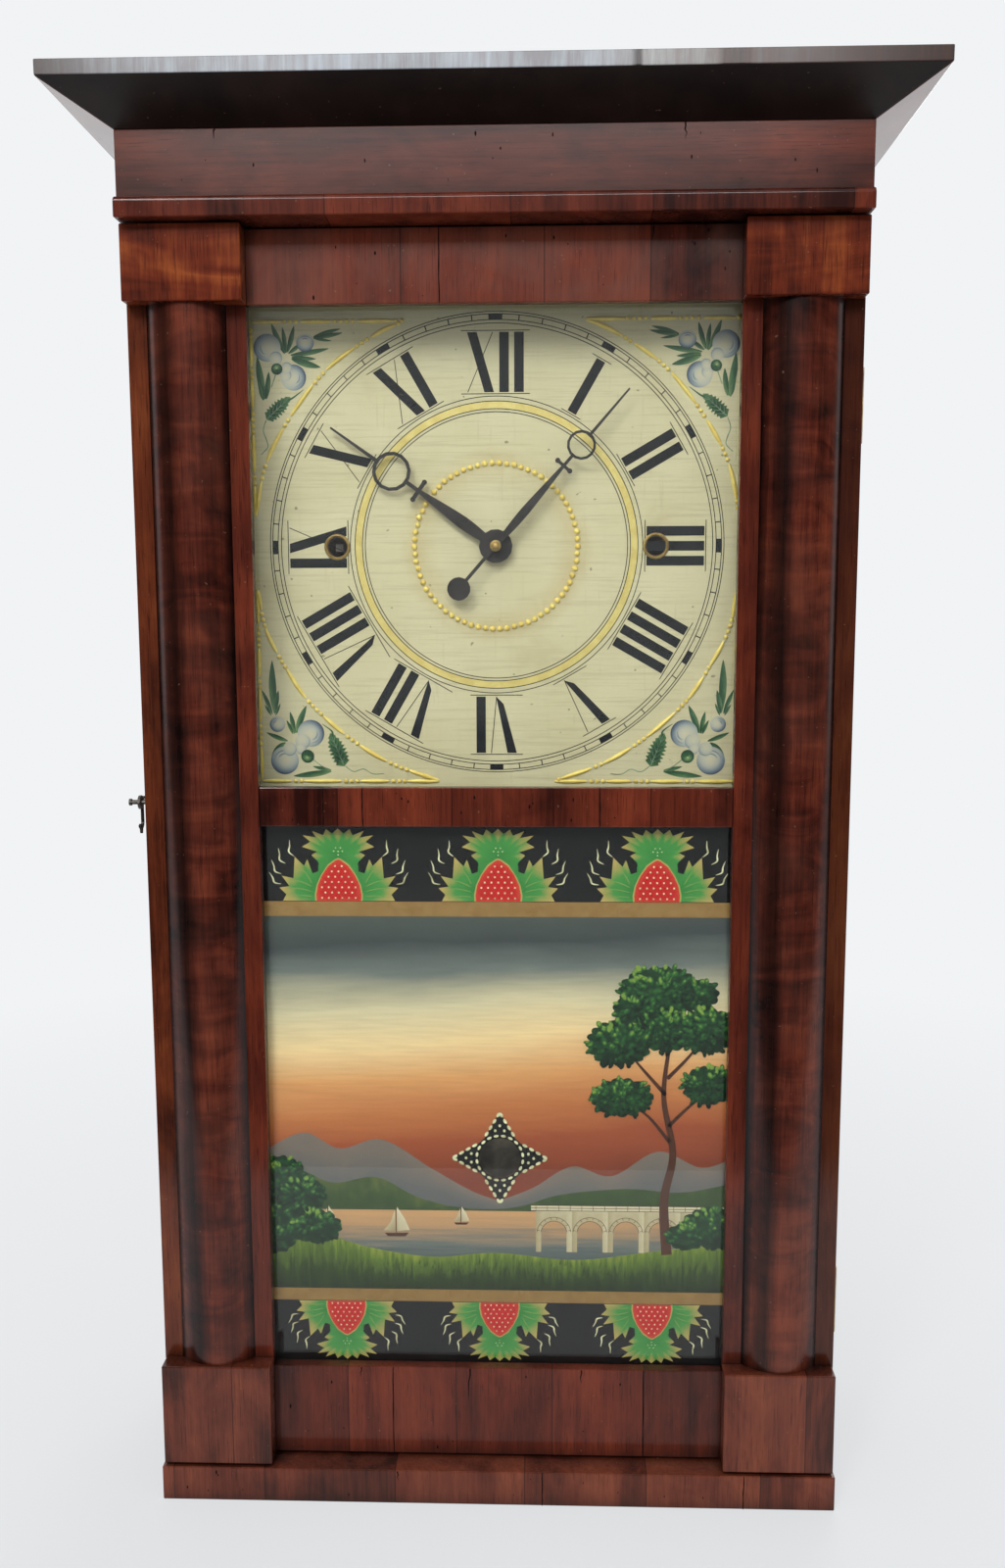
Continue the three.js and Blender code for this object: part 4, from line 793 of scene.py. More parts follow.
def build_back(material):
    """The back: three upright pine boards, nailed along the edges, that stand for the one solid."""
    low, high = box_mm("back_board")
    gap, reveal, ease = 0.9, 0.4, 0.8
    edges = [low.x, low.x + 128.0, low.x + 262.0, high.x]
    y0, y1 = low.y, high.y - reveal
    for number, (left, right) in enumerate(zip(edges, edges[1:])):
        x0 = left + (gap / 2 if number else 0)
        x1 = right - (gap / 2 if number < 2 else 0)
        eased = [(x1, y1 - ease), (x1 - ease, y1), (x0 + ease, y1), (x0, y1 - ease)]
        end = [(x0, y0), (x1, y0), *eased]
        corners = [(x, y, z) for z in (low.z, high.z) for x, y in end]
        count = len(end)
        faces = [tuple(range(count))[::-1], tuple(range(count, 2 * count))]
        band(faces, 1, count, closed=True)
        name = f"back_plank_{number + 1}"
        mesh_piece(name, "case", "pine", material, corners, faces, False, ("back_board",))
    chance = random.Random(3)
    points, faces = [], []
    rows, columns = (low.z + 9, high.z - 8), (-170, -90, -30, 30, 90, 170)
    places = [(x + chance.uniform(-2, 2), z) for z in rows for x in columns]
    heights = (140, 280, 420, 560, 700)
    places += [(side * 186, z + chance.uniform(-6, 6)) for side in (-1, 1) for z in heights]
    sides = 9
    for x, z in places:
        first = len(points)
        points.append((x, high.y - 0.02, z))
        for radius, depth in ((1.9, 0.12), (2.0, reveal)):
            y = high.y - depth
            for turn in turns(sides):
                points.append((x + radius * math.cos(turn), y, z + radius * math.sin(turn)))
        rim = first + 1
        faces += [(first, rim + (index + 1) % sides, rim + index) for index in range(sides)]
        band(faces, 1, sides, rim, closed=True)
    iron = metal("nail_iron", (58, 50, 46), (34, 28, 26), 0.7, 12.0, plain=0.5)
    mesh_piece("back_nails", "case", "steel", iron, points, faces)


def half_column(name, seed):
    """A smooth half column that stands for the CAD's faceted one."""
    low, high = box_mm(name)
    middle = (low.x + high.x) / 2
    half = (high.x - low.x) / 2
    rise = high.y - low.y
    radius = (half * half + rise * rise) / (2 * rise)
    reach = math.asin(half / radius)
    steps, levels = 40, 60
    points = []
    for level in range(levels + 1):
        z = low.z + (high.z - low.z) * level / levels
        for step in range(steps + 1):
            angle = -reach + 2 * reach * step / steps
            x = middle + radius * math.sin(angle)
            points.append((x, high.y - rise + (radius - radius * math.cos(angle)), z))
    row = steps + 1
    faces = []
    band(faces, levels, row)
    faces += [tuple(range(steps, -1, -1)), tuple(range(levels * row, levels * row + row))]
    back = [level * row for level in range(levels, -1, -1)]
    back += [level * row + steps for level in range(levels + 1)]
    faces.append(tuple(back))
    # The column carries painted shade in upright bands and a painted sheen.
    look = {"flame": 0.4, "blur": 0.2, "bloom_and_sheen": 0.3, "round_at": middle}
    look = veneer("veneer_" + name, "z", DEEP, seed, **look)
    made = mesh_piece(name + ".look", "door", "mahogany", look, points, faces, True, (name,))
    made.data.set_sharp_from_angle(angle=math.radians(30))


def build_door():
    """The stiles, rails, corner blocks and half columns of the door."""
    stile = veneer("veneer_stile", "z", RED, 11.0, strip_from=194.0)
    rail = veneer("veneer_rail", "z", RED, 12.0, leaves=60.0)
    # The top rail carries a strong painted sheen.
    top = veneer("veneer_rail_top", "z", RED, 14.0, leaves=80.0, bloom_and_sheen=0.9, blur=0.22)
    block = veneer("veneer_block", "z", BROWN, 13.0, leaves=70.0)
    cap = veneer("veneer_cap", "z", ORANGE, 15.0, flame=0.5)
    for look, radius, nodes in (
        (stile, 0.5, ("stile_left", "stile_right")),
        (top, 0.5, ("rail_top",)),
        (rail, 0.5, ("rail_middle", "rail_bottom")),
        (block, 0.7, ("plinth_block_left", "plinth_block_right")),
        (cap, 0.7, ("cap_block_left", "cap_block_right")),
    ):
        for name in nodes:
            softened(name, look, radius)
    half_column("column_left", 6.0)
    half_column("column_right", 9.0)


def build_wear():
    """Open joints, cracks and filled worm holes in the veneer of the front."""
    dark_gap = flat_paint("dark_gap", (16, 9, 8), 0.8)
    chance = random.Random(7)
    for node, body, joints, cracks in (
        ("rail_middle", "door", (-100.3, -77.3, 61.0), ()),
        ("rail_bottom", "door", (-64.0, 90.0), ((-84.0, 6.0), (-17.0, 22.0), (52.0, 9.0))),
        ("rail_top", "door", (-30.0,), ((88.0, 8.0),)),
        ("frieze_board", "case", (), ((-150.0, 5.0), (104.0, 9.0))),
        ("case_bottom", "case", (28.0, 150.0), ((-60.0, 6.0),)),
    ):
        low, high = box_mm(node)
        fall = low.z - high.z
        marks = Paint()
        for x in joints:
            way = [(x + chance.uniform(-0.2, 0.2), high.z + fall * t / 6) for t in range(7)]
            marks.line(way, [0.45, 0.7, 0.55, 0.8, 0.5, 0.75, 0.5])
        for x, length in cracks:
            way = [(x + chance.uniform(-0.7, 0.7), high.z - 0.6 - length * t / 5) for t in range(6)]
            marks.line(way, [1.0, 0.8, 0.7, 0.5, 0.35, 0.1])
        for _ in range(14):
            x = chance.uniform(low.x + 8, high.x - 8)
            z = chance.uniform(low.z + 3, high.z - 3)
            size = chance.uniform(0.25, 0.6)
            marks.shape(ellipse((x, z), size * chance.uniform(1, 3), size, 0, 8))
        marks.make(node + "_marks", dark_gap, low.y - 0.02, body, "mahogany")


# ---------------------------------------------------------------------------------------------
# The dial
# ---------------------------------------------------------------------------------------------


def letter_faces(letter, left, height):
    """Outlines of one letter that starts at left: heavy strokes and hairlines."""
    if letter == "I":
        return [rectangle(left, left + BAR_WIDTH, 0, height)]
    wide = left + WIDE_LETTER
    if letter == "X":
        heavy = [(wide - BAR_WIDTH, 0), (wide, 0), (left + BAR_WIDTH, height), (left, height)]
        top = wide - 1
        return [heavy, [(left, 0), (left + HAIRLINE, 0), (top + HAIRLINE, height), (top, height)]]
    apex = wide - 3.2
    heavy = [(apex, 0), (left + BAR_WIDTH, height), (left, height)]
    heavy.append((apex - BAR_WIDTH * 0.8, height * 0.13))
    return [heavy, [(apex - HAIRLINE, 0), (apex, 0), (wide, height), (wide - HAIRLINE, height)]]


def build_numerals(ink, depth):
    """The twelve numerals, feet inwards, each between two thin lines."""
    letters = Paint()
    height = NUMERAL_OUT - NUMERAL_IN
    for hour, text in enumerate(NUMERALS):
        widths = [BAR_WIDTH if letter == "I" else WIDE_LETTER for letter in text]
        total = sum(widths) + BAR_GAP * (len(text) - 1)
        out, side = heading(hour * 30)

        def on_dial(points, out=out, side=side):
            return [tuple(Vector(CENTRE) + side * x + out * (NUMERAL_IN + z)) for x, z in points]

        left = -total / 2
        for letter, width in zip(text, widths):
            for face in letter_faces(letter, left, height):
                letters.shape(on_dial(face))
            left += width + BAR_GAP
        reach = total / 2 + 3.6
        for level in (-0.9, height + 0.9):
            letters.line(on_dial([(-reach, level), (reach, level)]), HAIRLINE)
    letters.make("dial_numerals", ink, depth, *DIAL)


def build_track(ink, depth):
    """The minute track, and the fine lines beside it and beside the gilt ring."""
    lines = Paint()
    for radius in TRACK_LINES + GILT_RING_LINES:
        lines.ring(radius - HAIRLINE / 2, radius + HAIRLINE / 2)
    inner, outer = TRACK_LINES[2], TRACK_LINES[1]
    for degrees in range(0, 360, 6):
        if degrees % 30:
            lines.line([polar(CENTRE, inner, degrees), polar(CENTRE, outer, degrees)], 0.65)
        else:
            lines.ring(inner, outer, start=-degrees - 1.75, end=-degrees + 1.75, steps=4)
    lines.make("dial_lines", ink, depth, *DIAL)


def dome(points, faces, centre, depth, radius, height, steps=10):
    """Adds a raised bead that stands on the plane at depth."""
    rings = ((1.0, 0.0), (0.92, 0.5), (0.6, 0.88))
    first = len(points)
    for share, rise in rings:
        for turn in turns(steps):
            x = centre[0] + radius * share * math.cos(turn)
            z = centre[1] + radius * share * math.sin(turn)
            points.append((x, depth - height * rise, z))
    points.append((centre[0], depth - height, centre[1]))
    band(faces, len(rings) - 1, steps, first, closed=True)
    last = first + (len(rings) - 1) * steps
    faces += [(last + index, last + (index + 1) % steps, last + steps) for index in range(steps)]


def ridge(points, faces, way, depth, width, height):
    """Adds a raised line of gesso with a half-round section and thin ends."""
    section = 5
    first = len(points)
    for index, ((x, z), run) in enumerate(zip(way, runs(way))):
        share = math.sin(math.pi * (0.08 + 0.84 * index / (len(way) - 1))) ** 0.5
        for step in range(section):
            turn = math.pi * step / (section - 1)
            off = math.cos(turn) * width / 2 * share
            rise = math.sin(turn) * height * share
            points.append((x + run.y * off, depth - rise, z - run.x * off))
    band(faces, len(way) - 1, section, first, flip=True)


def build_beads(gold, depth):
    points, faces = [], []
    for index in range(BEAD_COUNT):
        shake = random.Random(index).uniform(-0.25, 0.25)
        centre = polar(CENTRE, BEAD_RING + shake, 360 * (index + 0.5) / BEAD_COUNT)
        dome(points, faces, centre, depth, 1.78 + shake * 0.4, 1.6)
    mesh_piece("dial_bead_ring", *DIAL, gold, points, faces, True)


def border_ways(up):
    """A right-hand corner's gilt border, from the dial's centre: two straight sides and a bow."""
    right = BORDER_X
    if up > 0:
        level, tip_x, tip_z = BORDER_TOP, 51.5, 17.7
        bow = [(67.3, 123.6), (93.4, 107.1), (109.6, 90.9), (126.7, 66.8), (137.2, 45.4)]
    else:
        level, tip_x, tip_z = BORDER_FOOT, 34.0, 24.2
        bow = [(64.7, 129.1), (89.2, 113.9), (111.6, 94.0), (124.5, 75.9), (138.1, 49.8)]
    return [
        curve([(tip_x, level), ((tip_x + right) / 2, level), (right, level)], 24),
        curve([(right, level), (right, (level + tip_z) / 2), (right - 0.3, tip_z)], 24),
        curve([(tip_x, level), *bow, (right - 0.3, tip_z)], 12),
    ]


def build_borders(gold, depth):
    """Raised gilt lines broken by groups of beads, one triangle in each corner."""
    for corner, (side, up) in enumerate(((1, 1), (-1, 1), (1, -1), (-1, -1))):
        points, faces = [], []
        for number, way in enumerate(border_ways(up)):
            placed = [(x * side, DIAL_Z + z * up) for x, z in way]
            placed = placed[::-1] if side * up < 0 else placed
            lay_border(points, faces, placed, depth, corner * 3 + number)
        mesh_piece(f"dial_border_{corner + 1}", *DIAL, gold, points, faces, True)


def distances(way):
    """How far each point of a way lies along it."""
    lengths = [0.0]
    for a, b in zip(way, way[1:]):
        lengths.append(lengths[-1] + math.dist(a, b))
    return lengths


def lay_border(points, faces, way, depth, seed):
    """Lays strokes and beads by turns along a way."""
    chance = random.Random(seed)
    lengths = distances(way)

    def at(length):
        for index in range(len(way) - 1):
            if lengths[index + 1] >= length:
                share = (length - lengths[index]) / (lengths[index + 1] - lengths[index])
                return tuple(Vector(way[index]).lerp(Vector(way[index + 1]), share))
        return way[-1]

    here = 1.0
    while here < lengths[-1] - 6:
        stroke = min(chance.uniform(15, 24), lengths[-1] - 1 - here)
        ridge(points, faces, [at(here + stroke * step / 8) for step in range(9)], depth, 2.7, 1.3)
        here += stroke + 1.7
        for _ in range(chance.choice((2, 3, 3, 4))):
            if here < lengths[-1] - 2:
                dome(points, faces, at(here), depth, 1.4, 1.25, 8)
                here += 3.5
        here -= 0.7


# The sprays are laid out from the corner of their border, inwards along x and z. A plum has its
# centre, radius and the direction of its dark side; a blade its foot, tip, width and bend.
UPPER_SPRAY = {
    "plums": ((32.0, 12.0, 5.2, 0), (9.6, 14.7, 8.0, 250), (24.7, 31.7, 7.5, 110)),
    "lobes": ((14.6, 20.6, 3.8), (20.2, 30.4, 3.4), (21.0, 26.0, 3.1)),
    "greens": ((15.1, 26.8, 3.3),),
    "blades": (
        (20.0, 18.0, 11.1, 1.8, 3.4, -1.5), (20.6, 17.6, 19.4, 3.2, 2.7, 0.6),
        (21.4, 17.4, 26.6, 2.8, 3.0, 1.0), (22.2, 18.0, 30.2, 12.6, 2.4, 0.5),
        (23.4, 19.0, 45.9, 16.6, 3.1, 1.2), (24.0, 20.0, 38.0, 22.2, 2.6, 1.0),
        (23.8, 21.0, 40.2, 27.4, 4.0, 1.5), (37.0, 8.8, 52.4, 3.4, 2.4, -1.0),
        (37.0, 9.2, 54.0, 7.4, 2.6, 0.8), (37.0, 9.6, 47.4, 11.6, 1.6, 0.5),
        (7.6, 43.8, 1.9, 20.0, 4.2, -1.8), (8.4, 43.8, 11.2, 28.6, 3.2, 1.0),
        (7.0, 44.2, 3.0, 32.8, 1.9, -0.6), (6.8, 44.6, 3.8, 38.4, 1.3, -0.4),
    ),
    "saws": ((8.2, 55.6, 22.6, 42.6, 9.6, 30.6, 38.6),),
    "stems": (
        ((8.0, 56.0), (6.2, 61.9), (8.0, 67.4), (8.6, 71.5), (4.6, 75.6)),
        ((11.6, 37.2), (14.2, 30.2)),
    ),
}
LOWER_SPRAY = {
    "plums": ((14.4, 12.6, 8.5, 200), (30.6, 29.1, 8.2, 60), (10.4, 34.6, 4.7, 230)),
    "lobes": ((25.6, 24.2, 4.6), (24.6, 19.6, 3.2), (17.6, 19.6, 4.2)),
    "greens": ((28.4, 15.2, 4.0),),
    "blades": (
        (8.6, 42.0, 6.4, 72.8, 4.5, 1.6), (7.2, 41.0, 2.2, 55.4, 2.5, -0.8),
        (8.8, 41.2, 10.6, 55.0, 3.1, 0.8), (6.6, 40.0, 3.0, 46.4, 1.5, 0.0),
        (9.4, 40.0, 12.4, 47.2, 1.5, 0.0), (21.6, 29.4, 27.0, 46.2, 3.7, 1.2),
        (20.6, 29.0, 19.0, 42.2, 2.8, -0.8), (19.6, 28.8, 16.6, 37.2, 2.0, -0.6),
        (16.4, 24.4, 3.4, 28.6, 2.7, 1.0), (15.0, 23.4, 5.4, 17.6, 3.3, -2.2),
        (42.6, 6.0, 19.8, 1.9, 3.7, 1.2), (42.6, 6.6, 31.4, 8.4, 2.3, 0.6),
    ),
    "saws": ((50.6, 9.0, 42.4, 29.4, 11.4, 37.6, 34.8),),
    "stems": (
        ((51.4, 9.0), (56.4, 5.8), (62.3, 7.4), (68.0, 4.4), (74.7, 4.6)),
        ((31.6, 13.4), (36.5, 9.4), (42.4, 6.2)),
    ),
}


class Placing:
    """Carries points of a drawing to their place; side and up are -1 where it is mirrored."""

    def __init__(self, origin, side, up, size=1.0):
        self.origin = origin
        self.scale = (size * side, size * up)
        self.flips = side * up < 0

    def at(self, point):
        return tuple(place + value * by for place, value, by in zip(self.origin, point, self.scale))

    def way(self, points):
        return [self.at(point) for point in points]

    def outline(self, points):
        """Points in an order that still faces the front."""
        return self.way(points[::-1] if self.flips else points)

    def toned(self, corners):
        """The outline and the tones of (x, z, tone) corners."""
        corners = corners[::-1] if self.flips else corners
        return self.way([corner[:2] for corner in corners]), [corner[2] for corner in corners]


def shaded_disc(paint, place, centre, radius, dark_degrees, tones, lift):
    """A round fruit: tones run from its rim to its heart, and fade away from its dark side."""
    steps = 28
    rings = []
    for fraction, tone in tones:
        ring = []
        for step in range(steps):
            degrees = -360 * step / steps
            fall = 0.5 + 0.5 * math.cos(math.radians(degrees - dark_degrees))
            ring.append((*polar(centre, radius * fraction, degrees), tone * (0.25 + 0.75 * fall)))
        rings.append(ring + ring[:1])
    for outer, inner in zip(rings, rings[1:]):
        for step in range(steps):
            corners = (outer[step], outer[step + 1], inner[step + 1], inner[step])
            paint.shape(*place.toned(corners), lift)


def build_spray(spray, place, fruit, leaves, stems):
    """One corner's fruit, leaves and tendrils."""
    for number, (x, z, tip_x, tip_z, width, bend) in enumerate(spray["blades"]):
        run = Vector((tip_x - x, tip_z - z))
        leaf = blade_leaf((x, z), lean(run), run.length, width, bend)
        half = len(leaf) // 2
        tones = [0.05 + 0.3 * index / half for index in range(half)]
        tones += [0.35 + 0.45 * index / half for index in range(half)]
        corners = [(*point, tone) for point, tone in zip(leaf, tones)]
        leaves.shape(*place.toned(corners), number * PAINT_STEP / 16)
    for x, z, tip_x, tip_z, width, end_x, end_z in spray["saws"]:
        foot = Vector((x, z))
        run = Vector((tip_x - x, tip_z - z))
        outline = place.outline(saw_leaf((x, z), lean(run), run.length, width))
        middle = place.at((x + run.x * 0.42, z + run.y * 0.42))
        leaves.fan(middle, outline, 0.05, 0.5, PAINT_STEP)
        start = (tip_x - run.x * 0.12, tip_z - run.y * 0.12)
        tail = [start, (tip_x + 1, tip_z + 1), (end_x, end_z)]
        leaves.line(place.way(curve(tail, 6)), taper(1.8, 1.5, 13), 0.3, PAINT_STEP * 1.2)
        lift = PAINT_STEP * 1.5
        stems.line(place.way([(x, z), (tip_x, tip_z)]), [0.6, 0.15], 0.5, lift)
        across = Vector((run.y, -run.x)).normalized()
        for side in (-1, 1):
            for index in range(5):
                start = foot + run * (0.12 + 0.15 * index)
                end = start + run * 0.16 + across * side * width * (0.3 - 0.035 * index)
                stems.line(place.way([start, end]), [0.4, 0.12], 0.5, lift)
    for way in spray["stems"]:
        stems.line(place.way(curve(way, 6)), 0.55)
    rim = ((1.0, 1.0), (0.86, 0.78), (0.6, 0.42), (0.3, 0.12), (0.02, 0.0))
    swell = [0.1 + 0.8 * math.sin(math.pi * step / 12) for step in range(13)]
    for number, (x, z, radius, dark) in enumerate(spray["plums"]):
        lift = PAINT_STEP * (1.6 + number * 0.5)
        shaded_disc(fruit, place, (x, z), radius, dark, rim, lift)
        for bow, reach in ((0.72, 60), (0.48, 50)):
            crescent = arc((x, z), radius * bow, dark + 180 - reach, dark + 180 + reach, 12)
            fruit.line(place.way(crescent), swell, 0.55, lift + PAINT_STEP / 4)
    lobe = ((1.0, 0.62), (0.75, 0.34), (0.4, 0.14), (0.02, 0.06))
    for number, (x, z, radius) in enumerate(spray["lobes"]):
        shaded_disc(fruit, place, (x, z), radius, 150, lobe, PAINT_STEP * (3.2 + number * 0.3))
    green = ((1.0, 0.05), (0.7, 0.5), (0.4, 0.8), (0.02, 1.0))
    for x, z, radius in spray["greens"]:
        shaded_disc(leaves, place, (x, z), radius, 200, green, PAINT_STEP * 5)


def build_spandrels(depth):
    """Fruit, leaves and tendrils in the corners of the dial."""
    fruit, leaves, stems = Paint(), Paint(), Paint()
    for up, level, spray in ((1, BORDER_TOP, UPPER_SPRAY), (-1, BORDER_FOOT, LOWER_SPRAY)):
        for side in (1, -1):
            corner = (BORDER_X * side, DIAL_Z + level * up)
            build_spray(spray, Placing(corner, -side, -up), fruit, leaves, stems)
    leaf_green = toned_paint("leaf_green", (
        (0.0, (26, 58, 42)), (0.35, (52, 92, 62)), (0.7, (112, 142, 96)), (1.0, (192, 200, 130)),
    ))
    plum = toned_paint("fruit", (
        (0.0, (208, 202, 176)), (0.25, (184, 186, 176)), (0.6, (124, 138, 150)),
        (0.85, (78, 92, 112)), (1.0, (54, 64, 84)),
    ), 90, 0.06)
    stem_green = flat_paint("stem_green", (112, 138, 108))
    leaves.make("dial_leaves", leaf_green, depth, *DIAL)
    stems.make("dial_tendrils", stem_green, depth - PAINT_STEP, *DIAL)
    fruit.make("dial_fruit", plum, depth, *DIAL)


def build_dial():
    """The painted board with all that lies on it. Its back and edges are bare wood."""
    low, _ = box_mm("dial_board")
    board = softened("dial_board", dial_paint("dial_ground"), 0.4)
    board.data.materials.append(bare_wood("dial_back_wood", "x", PINE, 5.0))
    for polygon in board.data.polygons:
        if polygon.normal.y > -0.5:
            polygon.material_index = 1
    depth = low.y - PAINT_STEP
    ink = flat_paint("ink", (22, 23, 28), 0.4, 0.22)
    gold = leaf_gold("gilt", (244, 222, 122), (222, 190, 88), 0.34, 0.0)
    pale_gold = leaf_gold("pale_gilt", (224, 206, 128), (204, 180, 98), 0.4, 2.0)
    build_track(ink, depth)
    build_numerals(ink, depth - PAINT_STEP)
    gilt = Paint()
    gilt.ring(*GILT_RING)
    gilt.make("dial_gilt_ring", pale_gold, depth, *DIAL)
    build_beads(gold, depth)
    build_borders(gold, depth)
    build_spandrels(depth)


# ---------------------------------------------------------------------------------------------
# The painted tablet
# ---------------------------------------------------------------------------------------------

# Corners of the ragged leaves beside and above a berry, with their tones, and the berry's edge.
LOBE_LOW = (
    (4, 0.4, 0.1), (33.5, 0.4, 1), (31.5, 4.2, 0.75), (35.5, 8.3, 1), (29.5, 9.2, 0.6),
    (34, 15.5, 1), (27, 14, 0.6), (26, 27, 1), (20.5, 21.5, 0.6), (18.5, 25.5, 0.9),
    (15.5, 17, 0.4), (9.5, 19, 0.2), (4, 12, 0.1),
)
LOBE_HIGH = (
    (10, 17, 0.3), (12, 24, 0.4), (16, 28, 0.9), (12.5, 30, 0.5), (21.5, 33, 1), (16.5, 36, 0.6),
    (21, 40, 1), (13, 38.6, 0.6), (15.4, 42.6, 1), (8.8, 40, 0.6), (7, 43.6, 0.9), (3.4, 41, 0.5),
)
BERRY = ((13.2, 0.3), (13.5, 4), (12.4, 10), (9.8, 16), (5.9, 21.5), (1.6, 24.8))
VEINS = (((16, 3), (29, 2.4)), ((16, 6), (31, 8)), ((16, 9), (29.5, 13.4)), ((16, 11), (22.5, 21)))
VEIN_WIDTHS = [0.2, 0.5, 0.6, 0.5, 0.4, 0.3, 0.1]
WISPS = ((70, 45), (61, 47), (51, 48), (41, 47))
WISP_WIDTHS = [0.2, 0.4, 0.6, 0.8, 0.9, 1.0, 1.0, 0.9, 0.8, 0.6, 0.5, 0.35, 0.2]


def holed_rectangle(paint, x0, x1, z0, z1):
    """A rectangle of faces round the clear opening."""
    steps = 64
    angles = [360 * index / steps for index in range(steps)]
    for x, z in rectangle(x0, x1, z0, z1):
        angles.append(math.degrees(math.atan2(x - EYE[0], z - EYE[1])) % 360)
    rim, edge = [], []
    for degrees in sorted(set(angles), reverse=True):
        run, _ = heading(degrees)
        reach = []
        if abs(run.x) > 1e-9:
            reach.append(((x1 if run.x > 0 else x0) - EYE[0]) / run.x)
        if abs(run.y) > 1e-9:
            reach.append(((z1 if run.y > 0 else z0) - EYE[1]) / run.y)
        edge.append(tuple(Vector(EYE) + run * min(reach)))
        rim.append(polar(EYE, EYE_RADIUS, degrees))
    paint.strip(edge + edge[:1], rim + rim[:1])


def build_star(black, cream, depth):
    """The black star round the opening, edged with cream touches."""
    waist, tip, spread = 15.6, 29.6, 37.0
    star, dots = Paint(), Paint()
    star.ring(EYE_RADIUS, waist, EYE, steps=64)
    for middle in range(0, 360, 90):
        edge = [polar(EYE, waist, middle - spread + index * spread / 4) for index in range(9)]
        star.shape([polar(EYE, tip, middle), *edge])
        for side in (-1, 1):
            foot = Vector(polar(EYE, waist + 0.3, middle + side * spread))
            run = Vector(polar(EYE, tip - 0.8, middle)) - foot
            for index in range(4):
                dots.shape(ellipse(foot + run * (0.16 + 0.25 * index), 1.75, 0.95, lean(run), 10))
        for distance, off in ((17.6, -9.0), (17.6, 9.0), (20.6, 0.0)):
            dots.shape(ellipse(polar(EYE, distance, middle + off), 0.95, 0.85, 0, 10))
    count = 20
    for index in range(count):
        degrees = 360 * (index + 0.5) / count
        dots.shape(ellipse(polar(EYE, 14.1, degrees), 1.55, 0.85, degrees + 90, 10))
    star.make("tablet_star", black, depth)
    dots.make("tablet_star_dots", cream, depth - PAINT_STEP / 2)


def mirrored(half, top):
    """A whole outline from its right half and its topmost corner."""
    return [*half, top, *((-corner[0], *corner[1:]) for corner in half[::-1])]


def rosette(foot, up, size, fruit, leaves, wisps, dots):
    """Half a berry among ragged leaves, standing on a stripe or, with up = -1, hanging from it."""
    place = Placing(foot, 1, up, size)
    leaves.shape(place.outline(rectangle(-12, 12, 0.4, 22)), 0.15)
    for side in (1, -1):
        half = Placing(foot, side, up, size)
        outline, tones = half.toned(LOBE_LOW)
        leaves.fan(half.at((15, 7)), outline, 0.05, tones, PAINT_STEP / 4)
        for low, high in VEINS:
            middle = ((low[0] + high[0]) / 2, (low[1] + high[1]) / 2 + 0.8)
            vein = half.way(curve([low, middle, high], 3))
            leaves.line(vein, VEIN_WIDTHS, 0.62, PAINT_STEP / 2)
    outline, tones = place.toned(mirrored(LOBE_HIGH, (0, 44, 1)))
    leaves.fan(place.at((0, 27)), outline, 0.05, tones, PAINT_STEP / 3)
    berry = mirrored(BERRY, (0, 25.4))
    edge = [(x * 1.07, z + (0.9 if z > 20 else 0.0)) for x, z in berry]
    leaves.shape(place.outline(edge), 0.85, PAINT_STEP * 0.8)
    fruit.fan(place.at((0, 9)), place.outline(berry), 0.0, 0.8, PAINT_STEP)
    seeds = []
    for row in range(7):
        level = 2.2 + row * 3.2
        reach = 12.4 * math.sqrt(max(1 - (level / 25.5) ** 1.7, 0))
        offset = 0.0 if row % 2 else 2.0
        across = [index * 4.0 + offset for index in range(-4, 5)]
        seeds += [(x, level, 0.58) for x in across if abs(x) < reach - 1.0]
    tuft = ((-2.6, 30.4), (0, 30.2), (2.6, 30.4), (-1.4, 32.4), (1.4, 32.4), (0, 28.2))
    for x, z, radius in [*seeds, *((x, z, 0.4) for x, z in tuft)]:
        dots.shape(place.outline(ellipse((x, z), radius, radius, 0, 8)))
    for side in (-1, 1):
        for degrees, reach in WISPS:
            bends = ((9, 3), (5, 3.5), (3, 0), (0, -3))
            way = [polar((0, 0), reach - less, side * (degrees + turn)) for less, turn in bends]
            way = [(x, max(z, 1.0)) for x, z in curve(way, 4)]
            wisps.line(place.way(way), WISP_WIDTHS)


def build_bands(black, cream, depth):
    """The black bands above and below the view, with their stripes and three rosettes each."""
    bands, stripes = Paint(), Paint()
    for low, high in ((TABLET_FOOT, STRIPE_LOW[0]), (STRIPE_HIGH[1], TABLET_HEAD)):
        bands.shape(rectangle(-TABLET_X, TABLET_X, low, high))
    for low, high in (STRIPE_LOW, STRIPE_HIGH):
        stripes.shape(rectangle(-TABLET_X, TABLET_X, low, high))
    dull_gold = leaf_gold("dull_gilt", (166, 144, 92), (122, 100, 58), 0.5, 4.0)
    bands.make("tablet_bands", black, depth)
    stripes.make("tablet_stripes", dull_gold, depth)
    petals, leaves, wisps, dots = Paint(), Paint(), Paint(), Paint()
    for x in (-93.5, 1.5, 95.5):
        rosette((x, STRIPE_HIGH[1]), 1, 1.0, petals, leaves, wisps, dots)
        rosette((x, STRIPE_LOW[0]), -1, 0.88, petals, leaves, wisps, dots)
    band_leaf = toned_paint("band_leaf", (
        (0.0, (48, 128, 58)), (0.5, (72, 148, 72)), (0.72, (160, 156, 88)), (1.0, (200, 172, 106)),
    ))
    reds = ((0.0, (200, 24, 22)), (0.6, (196, 28, 24)), (1.0, (216, 84, 58)))
    front = depth - PAINT_STEP
    wisps.make("tablet_wisps", cream, front)
    leaves.make("tablet_band_leaves", band_leaf, front)
    petals.make("tablet_rosettes", toned_paint("rose_red", reds), front - PAINT_STEP)
    dots.make("tablet_rosette_dots", cream, front - PAINT_STEP * 3)


